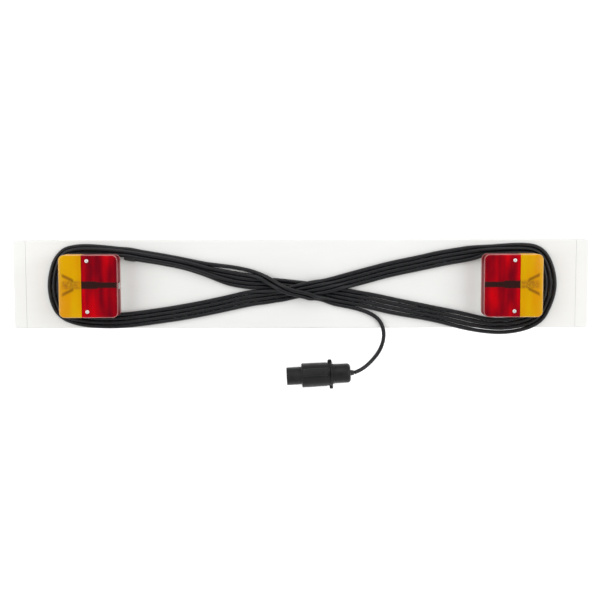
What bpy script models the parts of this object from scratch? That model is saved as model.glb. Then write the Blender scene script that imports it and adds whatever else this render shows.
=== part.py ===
"""Trailer lighting board: a white channel board with two square lamps, its lead wound round them, and a plug.

World frame: +X along the board, +Y across it, +Z out of its face. The board's back lips lie at z = 0.
Each lamp is drawn in its own frame: z = 0 on the board's face, +x towards the middle of the board.
The plug is drawn along its axis: x = 0 at the cable end, growing towards the open end.
"""

import math

import bmesh
import bpy
from mathutils import Matrix, Vector

# Fits
GAP = 0.0003                    # play between neighbouring pieces
ROUND_STEPS = 16                # sides of a small round piece
CORNER_STEPS = 4                # segments of a rounded corner

# Board: an extruded channel between two end caps
BOARD_LENGTH = 0.915
BOARD_WIDTH = 0.141
BOARD_DEPTH = 0.020
BOARD_PLATE = 0.003
BOARD_WALL = 0.0025
BOARD_LIP = 0.012
BOARD_EDGE_RADIUS = 0.002
CAP_LENGTH = 0.020
TONGUE_LENGTH = 0.013
TONGUE_WIDTH = 0.120
TONGUE_THICKNESS = 0.0025

# Lamp
LAMP_X = 0.330                  # lamp centres are at +-LAMP_X
LENS_LENGTH = 0.092
LENS_WIDTH = 0.098
LENS_FRONT = 0.046              # above the board's face
LENS_BOTTOM = 0.0166
LENS_WALL = 0.0025
LENS_CORNER = 0.009
LENS_EDGE = 0.002
COLOUR_JOINT_X = -0.0105        # where the amber moulding meets the red one
BASE_LENGTH = 0.082
BASE_WIDTH = 0.088
BASE_CORNER = 0.006
BASE_WALL = 0.002
BASE_BOTTOM = 0.002
BASE_FLOOR = 0.0045
FLANGE_BOTTOM = 0.0134
FLANGE_TOP = 0.015
FLANGE_INSET = 0.0005           # flange edge inside the lens edge
SEAL_WIDTH = 0.0025
PILLAR_X = -0.0017
PILLAR_Y = 0.0396
PILLAR_RADIUS = 0.0038
PILOT_RADIUS = 0.0020
PILOT_BOTTOM = 0.0075
SCREW_RADIUS = 0.0017
SCREW_TIP = (0.009, 0.0008)     # height and radius
SCREW_TIP_LENGTH = 0.002
SCREW_HEAD_RADIUS = 0.0030
SCREW_HEAD_HEIGHT = 0.0018
COUNTERBORE = 0.0012
BOLT_PLACES = ((0.028, -0.034), (-0.026, 0.030))
BOLT_RADIUS = 0.0024
BOLT_HEAD_RADIUS = 0.0042
BOLT_HOLE_RADIUS = 0.00275
NUT_RADIUS = 0.0046
NUT_HEIGHT = 0.0043
WIRE_HOLES = ((0.020, -0.022), (0.020, 0.022))
BASE_WIRE_RADIUS = 0.0042
BOARD_WIRE_RADIUS = 0.0050
RIB_START = (-0.020, 0.0112)
RIB_END = (-0.038, 0.0205)
RIB_THICKNESS = 0.0016
RIB_TOP = 0.0415
WINDOW_HALF = 0.005
WINDOW_Z = (0.020, 0.038)

# Bulbs, drawn along x from the back of the holder
BULB_Z = 0.0215
CARRIER_X = (-0.0030, -0.0014)
CARRIER_STRIP_Z = (0.0395, 0.0411)
CARRIER_FOOT_X = -0.012
CARRIER_STRIP_X = (-0.0105, 0.0165, 0.0420)
CARRIER_HALF_WIDTHS = (0.0055, 0.0040)
HOLDER_LENGTH = 0.012
HOLDER_RADII = (0.0078, 0.0093)
HOLDER_BACK = 0.0012
SLOT_RADII = (0.0070, 0.0105)    # a bayonet slot's cut through the holder's wall
BULB_CAP_RADIUS = 0.0075
BULB_CAP_ENDS = (0.0022, 0.0150)
BULB_PIN_X = 0.0060
BULB_PIN_RADIUS = 0.0010
BULB_PIN_REACH = 0.0086
BULB_GLASS_RADIUS = 0.009
BULB_GLASS_TIP = 0.0355
BULB_TWIST = math.radians(20)

# Cable
CABLE_RADIUS = 0.00315
CROSSOVER_RADIUS = 0.0025
CHANNEL_CABLE_Z = 0.008
CLIP_X = 0.120
CLIP_SIZE = 0.010
GLAND_PLACE = (-0.271, 0.0415)
GLAND_TURN = math.radians(-9.6)
GLAND_HALF_LENGTH = 0.009
GLAND_RADIUS = 0.0043
GLAND_SPIGOT_X = -0.003
GLAND_SPIGOT_RADIUS = 0.004
WINDING_Z = (0.0203, 0.0329)

# Plug
PLUG_REAR = (0.0847, -0.1427, 0.0196)
PLUG_TURN = math.radians(183.1)
PLUG_LENGTH = 0.1077
SHROUD_RADIUS = 0.01425
SHROUD_BORE = 0.0118
SHROUD_LENGTH = 0.024
BODY_RADII = (0.0186, 0.0194)
BODY_BORE = 0.0160
BODY_REAR = 0.0377
KEY_REACH = 0.0220
KEY_WIDTH = 0.0120
KEY_TURN = math.radians(-70)
RING_RADIUS = 0.020
RING_THICKNESS = 0.003
LUG_REACH = 0.0235
LUG_ROOT = 0.0191               # clear of the body's rear end
LUG_WIDTH = 0.0065
LUGS = ((-1, 0.0040, 0.0028), (1, 0.0025, 0.0010))     # side, reach over the body, corner radius
REAR_RADIUS = 0.0155
REAR_BORE = 0.0125
REAR_START = 0.0055
REAR_WALL = 0.004
BOOT_BORE = 0.0047
BOOT_FLANGE_RADIUS = 0.0075
PIN_CIRCLE = 0.0078
PIN_RADIUS = 0.0024

# The winding, in metres on the board's face: (inside of the band, outside of the band) at each station,
# from the crossing along the upper side, round the lamp and back along the lower side.
LEFT_STATIONS = (
    ((-0.081, -0.0075), (-0.081, 0.0251)), ((-0.113, -0.0004), (-0.113, 0.0314)),
    ((-0.145, 0.0087), (-0.145, 0.0346)), ((-0.177, 0.0187), (-0.177, 0.0399)),
    ((-0.208, 0.0259), (-0.208, 0.0461)), ((-0.240, 0.0326), (-0.240, 0.0513)),
    ((-0.272, 0.0395), (-0.272, 0.0561)), ((-0.296, 0.0450), (-0.300, 0.0608)),
    ((-0.335, 0.0450), (-0.336, 0.0636)), ((-0.358, 0.0450), (-0.358, 0.0640)),
    ((-0.3704, 0.0434), (-0.3805, 0.0546)), ((-0.3720, 0.030), (-0.398, 0.0300)),
    ((-0.3722, 0.000), (-0.4034, -0.0020)), ((-0.3720, -0.030), (-0.397, -0.0338)),
    ((-0.3704, -0.0434), (-0.3805, -0.0553)), ((-0.358, -0.0450), (-0.358, -0.0636)),
    ((-0.330, -0.0452), (-0.330, -0.0678)), ((-0.300, -0.0460), (-0.302, -0.0697)),
    ((-0.272, -0.0450), (-0.272, -0.0673)), ((-0.240, -0.0402), (-0.240, -0.0641)),
    ((-0.208, -0.0349), (-0.208, -0.0604)), ((-0.177, -0.0295), (-0.177, -0.0556)),
    ((-0.145, -0.0233), (-0.145, -0.0494)), ((-0.113, -0.0163), (-0.113, -0.0426)),
    ((-0.081, -0.0086), (-0.081, -0.0354)),
)
RIGHT_STATIONS = (
    ((0.078, -0.0062), (0.078, 0.0195)), ((0.110, 0.0020), (0.110, 0.0283)),
    ((0.142, 0.0115), (0.142, 0.0362)), ((0.190, 0.0211), (0.190, 0.0458)),
    ((0.221, 0.0275), (0.221, 0.0537)), ((0.269, 0.0387), (0.269, 0.0601)),
    ((0.296, 0.0450), (0.300, 0.0634)), ((0.330, 0.0450), (0.333, 0.0650)),
    ((0.358, 0.0450), (0.362, 0.0645)), ((0.3704, 0.0434), (0.383, 0.0580)),
    ((0.3720, 0.030), (0.4013, 0.0299)), ((0.3722, 0.000), (0.4077, -0.0050)),
    ((0.3720, -0.030), (0.3997, -0.0338)), ((0.3704, -0.0434), (0.381, -0.0600)),
    ((0.358, -0.0450), (0.357, -0.0732)), ((0.325, -0.0460), (0.322, -0.0792)),
    ((0.295, -0.0475), (0.290, -0.0785)), ((0.262, -0.0435), (0.254, -0.0736)),
    ((0.221, -0.0354), (0.221, -0.0641)), ((0.190, -0.0291), (0.190, -0.0577)),
    ((0.142, -0.0190), (0.142, -0.0498)), ((0.110, -0.0131), (0.094, -0.0434)),
    ((0.078, -0.0086), (0.062, -0.0354)),
)
CROSSING_TOP = ((-0.049, 0.0135), (-0.020, 0.0070), (0.012, 0.0045), (0.046, 0.0092))
CROSSING_BOTTOM = ((0.030, -0.0262), (0.000, -0.0215), (-0.048, -0.0283))
TAIL_ROUTE = (
    (0.1200, -0.0513, 0.0235), (0.1262, -0.0572, 0.0235), (0.1310, -0.0672, 0.0235), (0.1328, -0.0750, 0.0229),
    (0.1332, -0.0825, 0.0195), (0.1324, -0.0945, 0.0108), (0.1268, -0.1110, 0.0046), (0.1155, -0.1248, 0.0055),
    (0.1040, -0.1346, 0.0118), (0.0952, -0.1403, 0.0172), (0.0900, -0.1422, 0.0193), (0.0854, -0.1427, 0.0196),
)
CROSSOVER_ROUTE = (
    (-0.310, -0.022, 0.0260), (-0.310, -0.022, 0.0160), (-0.304, -0.023, 0.0095), (-0.288, -0.027, 0.0080),
    (-0.250, -0.044, 0.0080), (-0.200, -0.052, 0.0080), (-0.140, -0.052, 0.0080), (0.000, -0.052, 0.0080),
    (0.140, -0.052, 0.0080), (0.180, -0.052, 0.0080), (0.210, -0.048, 0.0080), (0.250, -0.034, 0.0080),
    (0.285, -0.004, 0.0080), (0.305, 0.018, 0.0095), (0.310, 0.022, 0.0160), (0.310, 0.022, 0.0260),
)
LEAD_RUN_ROUTE = (
    (-0.2740, 0.0420, 0.0140), (-0.2742, 0.0419, 0.0125), (-0.2775, 0.0400, 0.0092), (-0.2850, 0.0358, 0.0078),
    (-0.2950, 0.0300, 0.0078), (-0.3045, 0.0248, 0.0100), (-0.3095, 0.0222, 0.0150), (-0.3100, 0.0220, 0.0250),
)


def clear_scene():
    for obj in list(bpy.data.objects):
        bpy.data.objects.remove(obj, do_unlink=True)


def make_material(name, colour, roughness, metallic=0.0, transmission=0.0):
    material = bpy.data.materials.new(name)
    material.use_nodes = True
    shader = material.node_tree.nodes["Principled BSDF"]
    shader.inputs["Base Color"].default_value = (*colour, 1.0)
    shader.inputs["Roughness"].default_value = roughness
    shader.inputs["Metallic"].default_value = metallic
    shader.inputs["Transmission Weight"].default_value = transmission
    material.diffuse_color = (*colour, 1.0)
    return material


def make_empty(name, location, turn=0.0):
    empty = bpy.data.objects.new(name, None)
    empty.location = location
    empty.rotation_euler = (0.0, 0.0, turn)
    bpy.context.scene.collection.objects.link(empty)
    return empty


def make_object(name, bm, material, parent=None, location=(0.0, 0.0, 0.0), rotation=(0.0, 0.0, 0.0),
                smooth=False):
    """A mesh object from the closed solids in bm, with every face pointing out."""
    bmesh.ops.recalc_face_normals(bm, faces=bm.faces)
    mesh = bpy.data.meshes.new(name)
    bm.to_mesh(mesh)
    bm.free()
    mesh.materials.append(material)
    if smooth:
        mesh.shade_smooth()
        mesh.set_sharp_from_angle(angle=math.radians(35))
    obj = bpy.data.objects.new(name, mesh)
    obj.parent = parent
    obj.location = location
    obj.rotation_euler = rotation
    bpy.context.scene.collection.objects.link(obj)
    return obj


def boolean(target, operation, bm):
    """Join the solids in bm, drawn in the target's own frame, to the target, or cut them out of it."""
    tool = make_object(f"{target.name}_{operation.lower()}_tool", bm, target.data.materials[0], target)
    tool.hide_render = True
    tool.display_type = "WIRE"
    modifier = target.modifiers.new(operation.title(), "BOOLEAN")
    modifier.operation = operation
    modifier.solver = "EXACT"
    modifier.object = tool


def add_loft(bm, loops, ring=False):
    """Join loops of points with quads, and close the ends with faces, or the last loop to the first one."""
    rows = [[bm.verts.new(point) for point in loop] for loop in loops]
    pairs = list(zip(rows, rows[1:]))
    if ring:
        pairs.append((rows[-1], rows[0]))
    for low, high in pairs:
        for i, corner in enumerate(low):
            j = (i + 1) % len(low)
            bm.faces.new((corner, low[j], high[j], high[i]))
    if not ring:
        bm.faces.new(rows[0])
        bm.faces.new(rows[-1])


def box_loops(x, y, z):
    return [[(x[0], y[0], h), (x[1], y[0], h), (x[1], y[1], h), (x[0], y[1], h)] for h in z]


def circle_loop(radius, height, centre=(0.0, 0.0), axis="Z", steps=ROUND_STEPS):
    """A circle round a line along axis. centre is its place across that line."""
    points = []
    for i in range(steps):
        angle = 2 * math.pi * i / steps
        a = centre[0] + radius * math.cos(angle)
        b = centre[1] + radius * math.sin(angle)
        points.append((a, b, height) if axis == "Z" else (height, a, b))
    return points


def add_turned(bm, stations, centre=(0.0, 0.0), axis="Z", ring=False, steps=ROUND_STEPS):
    """A turned solid from (distance along the axis, radius) stations."""
    add_loft(bm, [circle_loop(r, h, centre, axis, steps) for h, r in stations], ring)


def rounded_rect(x0, x1, y0, y1, left_radius, right_radius):
    """A rectangle's outline with rounded left and right corners. A radius of zero is a plain corner."""
    corners = (
        (x1, y0, right_radius, -90), (x1, y1, right_radius, 0),
        (x0, y1, left_radius, 90), (x0, y0, left_radius, 180),
    )
    points = []
    for x, y, radius, start in corners:
        cx = x - math.copysign(radius, x - (x0 + x1) / 2)
        cy = y - math.copysign(radius, y - (y0 + y1) / 2)
        steps = CORNER_STEPS if radius > 0 else 0
        for i in range(steps + 1):
            angle = math.radians(start + (90 * i / steps if steps else 45))
            points.append((cx + radius * math.cos(angle), cy + radius * math.sin(angle)))
    return points


def centred_rect(length, width, radius):
    return rounded_rect(-length / 2, length / 2, -width / 2, width / 2, radius, radius)


def at_height(outline, z):
    return [(x, y, z) for x, y in outline]


def smooth_curve(points, steps, closed=False):
    """Points on a Catmull-Rom curve through the route's own points, steps to each span."""
    route = [Vector(p) for p in points]
    spans = len(route) if closed else len(route) - 1
    if closed:
        before, after = route[-1], [route[0], route[1]]
    else:
        before, after = 2 * route[0] - route[1], [2 * route[-1] - route[-2]]
    line = [before, *route, *after]
    result = []
    for i in range(spans):
        a, b, c, d = line[i:i + 4]
        for k in range(steps):
            t = k / steps
            result.append(0.5 * (2 * b + (c - a) * t + (2 * a - 5 * b + 4 * c - d) * t ** 2
                                 + (3 * b - a - 3 * c + d) * t ** 3))
    if not closed:
        result.append(route[-1])
    return result


def spaced(points, spacing):
    """Points at about even spacing along a fine polyline, with both its ends."""
    lengths = [0.0]
    for a, b in zip(points, points[1:]):
        lengths.append(lengths[-1] + (b - a).length)
    count = max(2, round(lengths[-1] / spacing))
    result = []
    k = 0
    for i in range(count + 1):
        target = lengths[-1] * i / count
        while k < len(points) - 2 and lengths[k + 1] < target:
            k += 1
        share = (target - lengths[k]) / (lengths[k + 1] - lengths[k])
        result.append(points[k].lerp(points[k + 1], share))
    return result


def make_cable(name, route, radius, spacing, material):
    """A cable along the route: a round curve with closed ends."""
    points = spaced(smooth_curve(route, 12), spacing)
    curve = bpy.data.curves.new(name, "CURVE")
    curve.dimensions = "3D"
    curve.bevel_depth = radius
    curve.bevel_resolution = 2
    curve.use_fill_caps = True
    spline = curve.splines.new("POLY")
    spline.points.add(len(points) - 1)
    for spline_point, point in zip(spline.points, points):
        spline_point.co = (*point, 1.0)
    curve.materials.append(material)
    obj = bpy.data.objects.new(name, curve)
    bpy.context.scene.collection.objects.link(obj)
    return obj


# Board

def lamp_frame(side):
    """A lamp's place on the board's face. The right lamp is the left one turned half way round."""
    turn = 0.0 if side == "left" else math.pi
    return Matrix.Translation((-LAMP_X * math.cos(turn), 0.0, BOARD_DEPTH)) @ Matrix.Rotation(turn, 4, "Z")


def gland_frame():
    place = Matrix.Translation((*GLAND_PLACE, BOARD_DEPTH))
    return place @ Matrix.Rotation(GLAND_TURN, 4, "Z")


def channel_profile():
    """The board's cross-section: a plate, two walls and two lips, with rounded front edges, as (y, z)."""
    half = BOARD_WIDTH / 2
    inner = half - BOARD_WALL
    right = [(half, 0.0)]
    for i in range(4):
        angle = math.radians(30 * i)
        right.append((half - BOARD_EDGE_RADIUS * (1 - math.cos(angle)),
                      BOARD_DEPTH - BOARD_EDGE_RADIUS * (1 - math.sin(angle))))
    left = [(-y, z) for y, z in reversed(right)]
    inside = [(-half + BOARD_LIP, 0.0), (-half + BOARD_LIP, BOARD_WALL), (-inner, BOARD_WALL),
              (-inner, BOARD_DEPTH - BOARD_PLATE), (inner, BOARD_DEPTH - BOARD_PLATE), (inner, BOARD_WALL),
              (half - BOARD_LIP, BOARD_WALL), (half - BOARD_LIP, 0.0)]
    return right + left + inside


def build_board_panel(material):
    end = BOARD_LENGTH / 2 - CAP_LENGTH - GAP
    bm = bmesh.new()
    add_loft(bm, [[(x, y, z) for y, z in channel_profile()] for x in (-end, end)])
    panel = make_object("board_panel", bm, material)
    below = BOARD_DEPTH - BOARD_PLATE - 0.002
    above = BOARD_DEPTH + 0.002
    bm = bmesh.new()
    for side, wire_holes in (("left", WIRE_HOLES), ("right", WIRE_HOLES[:1])):
        holes = [(place, BOLT_HOLE_RADIUS) for place in BOLT_PLACES]
        holes += [(place, BOARD_WIRE_RADIUS) for place in wire_holes]
        for place, radius in holes:
            centre = lamp_frame(side) @ Vector((*place, 0.0))
            add_turned(bm, [(below, radius), (above, radius)], centre)
    centre = gland_frame() @ Vector((GLAND_SPIGOT_X, 0.0, 0.0))
    add_turned(bm, [(below, GLAND_SPIGOT_RADIUS + GAP), (above, GLAND_SPIGOT_RADIUS + GAP)], centre)
    boolean(panel, "DIFFERENCE", bm)


def build_end_cap(side, material):
    """A cap as deep as the board, hollow inside, with a tongue that slides under the board's plate."""
    sign = -1 if side == "left" else 1
    inner = BOARD_LENGTH / 2 - CAP_LENGTH
    outer = BOARD_LENGTH / 2
    half = BOARD_WIDTH / 2
    cap_radius = 0.004

    def outline(inset):
        shape = rounded_rect(inner, outer - inset, -half + inset, half - inset, 0.0, cap_radius)
        return [(sign * x, y) for x, y in shape]

    edge = BOARD_EDGE_RADIUS
    loops = [at_height(outline(0.0), 0.0)]
    for i in range(4):
        angle = math.radians(30 * i)
        height = BOARD_DEPTH - edge * (1 - math.sin(angle))
        loops.append(at_height(outline(edge * (1 - math.cos(angle))), height))
    bm = bmesh.new()
    add_loft(bm, loops)
    cap = make_object(f"{side}_end_cap", bm, material)
    bm = bmesh.new()
    cavity_x = sorted((sign * (inner - 0.001), sign * (outer - BOARD_WALL)))
    cavity_y = (-half + BOARD_WALL, half - BOARD_WALL)
    add_loft(bm, box_loops(cavity_x, cavity_y, (BOARD_WALL, BOARD_DEPTH - BOARD_PLATE)))
    boolean(cap, "DIFFERENCE", bm)
    top = BOARD_DEPTH - BOARD_PLATE - GAP
    bottom = top - TONGUE_THICKNESS
    root = inner + 2 * GAP
    profile = [(inner - TONGUE_LENGTH, bottom), (outer - 0.006, bottom), (outer - 0.006, top + 0.001),
               (root, top + 0.001), (root, top), (inner - TONGUE_LENGTH, top)]
    bm = bmesh.new()
    add_loft(bm, [[(sign * x, y, z) for x, z in profile] for y in (-TONGUE_WIDTH / 2, TONGUE_WIDTH / 2)])
    boolean(cap, "UNION", bm)


# Lamps

def build_gasket(side, frame, material):
    outer = centred_rect(BASE_LENGTH - 0.002, BASE_WIDTH - 0.002, BASE_CORNER - 0.001)
    inner = centred_rect(BASE_LENGTH - 0.012, BASE_WIDTH - 0.012, BASE_CORNER - 0.003)
    low, high = GAP, BASE_BOTTOM - GAP
    bm = bmesh.new()
    loops = [at_height(outer, low), at_height(outer, high), at_height(inner, high), at_height(inner, low)]
    add_loft(bm, loops, ring=True)
    make_object(f"{side}_base_gasket", bm, material, frame)


def rib_outline(sign):
    start = Vector((RIB_START[0], sign * RIB_START[1]))
    end = Vector((RIB_END[0], sign * RIB_END[1]))
    along = (end - start).normalized()
    across = Vector((-along.y, along.x)) * RIB_THICKNESS / 2
    return [start - across, end - across, end + across, start + across]


def build_base(side, frame, material):
    """A tray with a flange for the lens, two screw pillars, and two ribs beside the indicator bulb."""
    outer = centred_rect(BASE_LENGTH, BASE_WIDTH, BASE_CORNER)
    length = LENS_LENGTH - 2 * FLANGE_INSET
    width = LENS_WIDTH - 2 * FLANGE_INSET
    flange = centred_rect(length, width, LENS_CORNER - FLANGE_INSET)
    inner = centred_rect(BASE_LENGTH - 2 * BASE_WALL, BASE_WIDTH - 2 * BASE_WALL, BASE_CORNER - BASE_WALL)
    bm = bmesh.new()
    loops = [at_height(outer, BASE_BOTTOM), at_height(outer, FLANGE_BOTTOM), at_height(flange, FLANGE_BOTTOM),
             at_height(flange, FLANGE_TOP), at_height(inner, FLANGE_TOP), at_height(inner, BASE_FLOOR)]
    add_loft(bm, loops)
    base = make_object(f"{side}_lamp_base", bm, material, frame)

    root = BASE_FLOOR - 0.001
    top = LENS_FRONT - LENS_WALL - GAP
    bm = bmesh.new()
    for sign in (-1, 1):
        add_turned(bm, [(root, PILLAR_RADIUS), (top, PILLAR_RADIUS)], (PILLAR_X, sign * PILLAR_Y))
        rib = rib_outline(sign)
        add_loft(bm, [at_height(rib, root), at_height(rib, RIB_TOP)])
    boolean(base, "UNION", bm)

    bm = bmesh.new()
    for sign in (-1, 1):
        pilot = [(PILOT_BOTTOM, PILOT_RADIUS), (top + 0.001, PILOT_RADIUS)]
        add_turned(bm, pilot, (PILLAR_X, sign * PILLAR_Y))
    for places, radius in ((BOLT_PLACES, BOLT_HOLE_RADIUS), (WIRE_HOLES, BASE_WIRE_RADIUS)):
        for place in places:
            add_turned(bm, [(BASE_BOTTOM - 0.001, radius), (BASE_FLOOR + 0.001, radius)], place)
    boolean(base, "DIFFERENCE", bm)


def build_seal(side, frame, material):
    outer = centred_rect(LENS_LENGTH - 0.001, LENS_WIDTH - 0.001, LENS_CORNER - 0.0005)
    length = LENS_LENGTH - 0.001 - 2 * SEAL_WIDTH
    width = LENS_WIDTH - 0.001 - 2 * SEAL_WIDTH
    inner = centred_rect(length, width, LENS_CORNER - 0.003)
    low, high = FLANGE_TOP + GAP, LENS_BOTTOM - GAP
    bm = bmesh.new()
    loops = [at_height(outer, low), at_height(outer, high), at_height(inner, high), at_height(inner, low)]
    add_loft(bm, loops, ring=True)
    make_object(f"{side}_lens_seal", bm, material, frame)


def build_lens(side, colour_name, x0, x1, frame, material):
    """One colour of the lens: a shell open at the back and towards the other colour."""
    amber = colour_name == "amber"
    radii = (LENS_CORNER, 0.0) if amber else (0.0, LENS_CORNER)
    half = LENS_WIDTH / 2

    def outline(inset):
        left = x0 + (inset if amber else 0.0)
        right = x1 - (0.0 if amber else inset)
        corner = [r - inset if r > 0 else 0.0 for r in radii]
        return rounded_rect(left, right, -half + inset, half - inset, *corner)

    loops = [at_height(outline(0.0), LENS_BOTTOM)]
    for i in range(4):
        angle = math.radians(30 * i)
        inset = LENS_EDGE * (1 - math.cos(angle))
        loops.append(at_height(outline(inset), LENS_FRONT - LENS_EDGE * (1 - math.sin(angle))))
    bm = bmesh.new()
    add_loft(bm, loops)
    lens = make_object(f"{side}_{colour_name}_lens", bm, material, frame)

    left = x0 + LENS_WALL if amber else x0 - 0.001
    right = x1 + 0.001 if amber else x1 - LENS_WALL
    corner = [r - LENS_WALL if r > 0 else 0.0 for r in radii]
    cavity = rounded_rect(left, right, -half + LENS_WALL, half - LENS_WALL, *corner)
    bm = bmesh.new()
    add_loft(bm, [at_height(cavity, LENS_BOTTOM - 0.001), at_height(cavity, LENS_FRONT - LENS_WALL)])
    boolean(lens, "DIFFERENCE", bm)
    return lens


def cut_screw_holes(lens):
    bm = bmesh.new()
    floor = LENS_FRONT - COUNTERBORE
    for sign in (-1, 1):
        stations = [(LENS_FRONT - LENS_WALL - 0.001, PILOT_RADIUS), (floor, PILOT_RADIUS),
                    (floor, SCREW_HEAD_RADIUS + 0.0005), (LENS_FRONT + 0.001, SCREW_HEAD_RADIUS + 0.0005)]
        add_turned(bm, stations, (PILLAR_X, sign * PILLAR_Y))
    boolean(lens, "DIFFERENCE", bm)


def build_number_plate_window(lens, frame, material):
    """A clear block in the wall that faces the number plate."""
    wall = LENS_LENGTH / 2
    bm = bmesh.new()
    cut_x = (wall - LENS_WALL - 0.001, wall + 0.001)
    add_loft(bm, box_loops(cut_x, (-WINDOW_HALF, WINDOW_HALF), WINDOW_Z))
    boolean(lens, "DIFFERENCE", bm)
    half = WINDOW_HALF - GAP
    bm = bmesh.new()
    loops = box_loops((wall - LENS_WALL, wall), (-half, half), (WINDOW_Z[0] + GAP, WINDOW_Z[1] - GAP))
    add_loft(bm, loops)
    make_object("left_number_plate_window", bm, material, frame)


def build_lens_screw(name, sign, frame, material):
    """A pan-head screw through the lens into its pillar, with a cross recess."""
    seat = LENS_FRONT - COUNTERBORE + GAP
    top = seat + SCREW_HEAD_HEIGHT
    bm = bmesh.new()
    stations = [SCREW_TIP, (SCREW_TIP[0] + SCREW_TIP_LENGTH, SCREW_RADIUS), (seat, SCREW_RADIUS),
                (seat, SCREW_HEAD_RADIUS),
                (top - 0.0008, SCREW_HEAD_RADIUS), (top - 0.0003, SCREW_HEAD_RADIUS - 0.0003),
                (top, SCREW_HEAD_RADIUS - 0.0010)]
    add_turned(bm, stations, steps=12)
    screw = make_object(name, bm, material, frame, (PILLAR_X, sign * PILLAR_Y, 0.0), smooth=True)
    short, long = 0.0004, 0.0017
    cross = [(long, -short), (long, short), (short, short), (short, long), (-short, long), (-short, short),
             (-long, short), (-long, -short), (-short, -short), (-short, -long), (short, -long),
             (short, -short)]
    bm = bmesh.new()
    add_loft(bm, [at_height(cross, top - 0.0009), at_height(cross, top + 0.0005)])
    boolean(screw, "DIFFERENCE", bm)


def build_carrier(side, frame, material):
    """The bracket between the two bulb holders, with the strip that runs over the stop bulb."""
    wide, narrow = CARRIER_HALF_WIDTHS
    start, step, end = CARRIER_STRIP_X
    foot = BASE_FLOOR + GAP
    low, high = CARRIER_STRIP_Z
    thickness = high - low
    leg = CARRIER_X
    profile = [(leg[0], high), (start, high), (start, low), (leg[0], low), (leg[0], foot + thickness),
               (CARRIER_FOOT_X, foot + thickness), (CARRIER_FOOT_X, foot), (leg[1], foot), (leg[1], low),
               (step, low), (step, high)]
    bm = bmesh.new()
    add_loft(bm, [[(x, y, z) for x, z in profile] for y in (-wide, wide)])
    carrier = make_object(f"{side}_bulb_carrier", bm, material, frame)
    bm = bmesh.new()
    add_loft(bm, box_loops((step - 0.001, end), (-narrow, narrow), CARRIER_STRIP_Z))
    boolean(carrier, "UNION", bm)


def sector_loops(start, stop, x):
    """The two opposite arcs of a bayonet slot round the x axis, each as loops along x."""
    inner, outer = SLOT_RADII
    result = []
    for half_turn in (0.0, math.pi):
        angles = [half_turn + start + (stop - start) * i / 4 for i in range(5)]
        arc = [(outer * math.cos(a), outer * math.sin(a)) for a in angles]
        arc += [(inner * math.cos(a), inner * math.sin(a)) for a in reversed(angles)]
        result.append([[(h, a, b) for a, b in arc] for h in x])
    return result


def build_bulb(side, use, frame, place, turn, materials):
    """A bayonet bulb: its holder, its cap with two pins, and its glass, along the bulb's axis."""
    axis = make_empty(f"{side}_{use}_bulb_axis", place, turn)
    axis.parent = frame
    inner, outer = HOLDER_RADII
    bm = bmesh.new()
    stations = [(0.0, outer), (HOLDER_LENGTH, outer), (HOLDER_LENGTH, inner), (HOLDER_BACK, inner)]
    add_turned(bm, stations, axis="X", steps=20)
    holder = make_object(f"{side}_{use}_bulb_holder", bm, materials["holder"], axis, smooth=True)
    play = BULB_PIN_RADIUS + 0.0004
    spread = math.asin(play / inner)
    bm = bmesh.new()
    for loops in sector_loops(-spread, BULB_TWIST + spread, (BULB_PIN_X - play, BULB_PIN_X + play)):
        add_loft(bm, loops)
    boolean(holder, "DIFFERENCE", bm)
    bm = bmesh.new()
    slot = box_loops((BULB_PIN_X, HOLDER_LENGTH + 0.001), (-SLOT_RADII[1], SLOT_RADII[1]), (-play, play))
    add_loft(bm, [[Matrix.Rotation(BULB_TWIST, 3, "X") @ Vector(p) for p in loop] for loop in slot])
    boolean(holder, "DIFFERENCE", bm)

    bm = bmesh.new()
    start, end = BULB_CAP_ENDS
    stations = [(start - 0.0008, 0.0018), (start, 0.0022), (start, BULB_CAP_RADIUS - 0.0006),
                (start + 0.0006, BULB_CAP_RADIUS), (end, BULB_CAP_RADIUS)]
    add_turned(bm, stations, axis="X", steps=20)
    cap = make_object(f"{side}_{use}_bulb_cap", bm, materials["bulb_cap"], axis, smooth=True)
    bm = bmesh.new()
    for sign in (-1, 1):
        reach = sorted((sign * 0.005, sign * BULB_PIN_REACH))
        pin = [[(BULB_PIN_X + BULB_PIN_RADIUS * math.cos(math.tau * i / 8), y,
                 BULB_PIN_RADIUS * math.sin(math.tau * i / 8)) for i in range(8)] for y in reach]
        add_loft(bm, pin)
    boolean(cap, "UNION", bm)

    neck = end + GAP
    shoulder = neck + 0.0055
    dome = BULB_GLASS_TIP - BULB_GLASS_RADIUS
    stations = [(neck, 0.0062), (neck + 0.0025, 0.0066), (shoulder, BULB_GLASS_RADIUS)]
    for angle in (0, 25, 50, 70, 85):
        a = math.radians(angle)
        stations.append((dome + BULB_GLASS_RADIUS * math.sin(a), BULB_GLASS_RADIUS * math.cos(a)))
    bm = bmesh.new()
    add_turned(bm, stations, axis="X")
    make_object(f"{side}_{use}_bulb_glass", bm, materials["bulb_glass"], axis, smooth=True)


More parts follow.
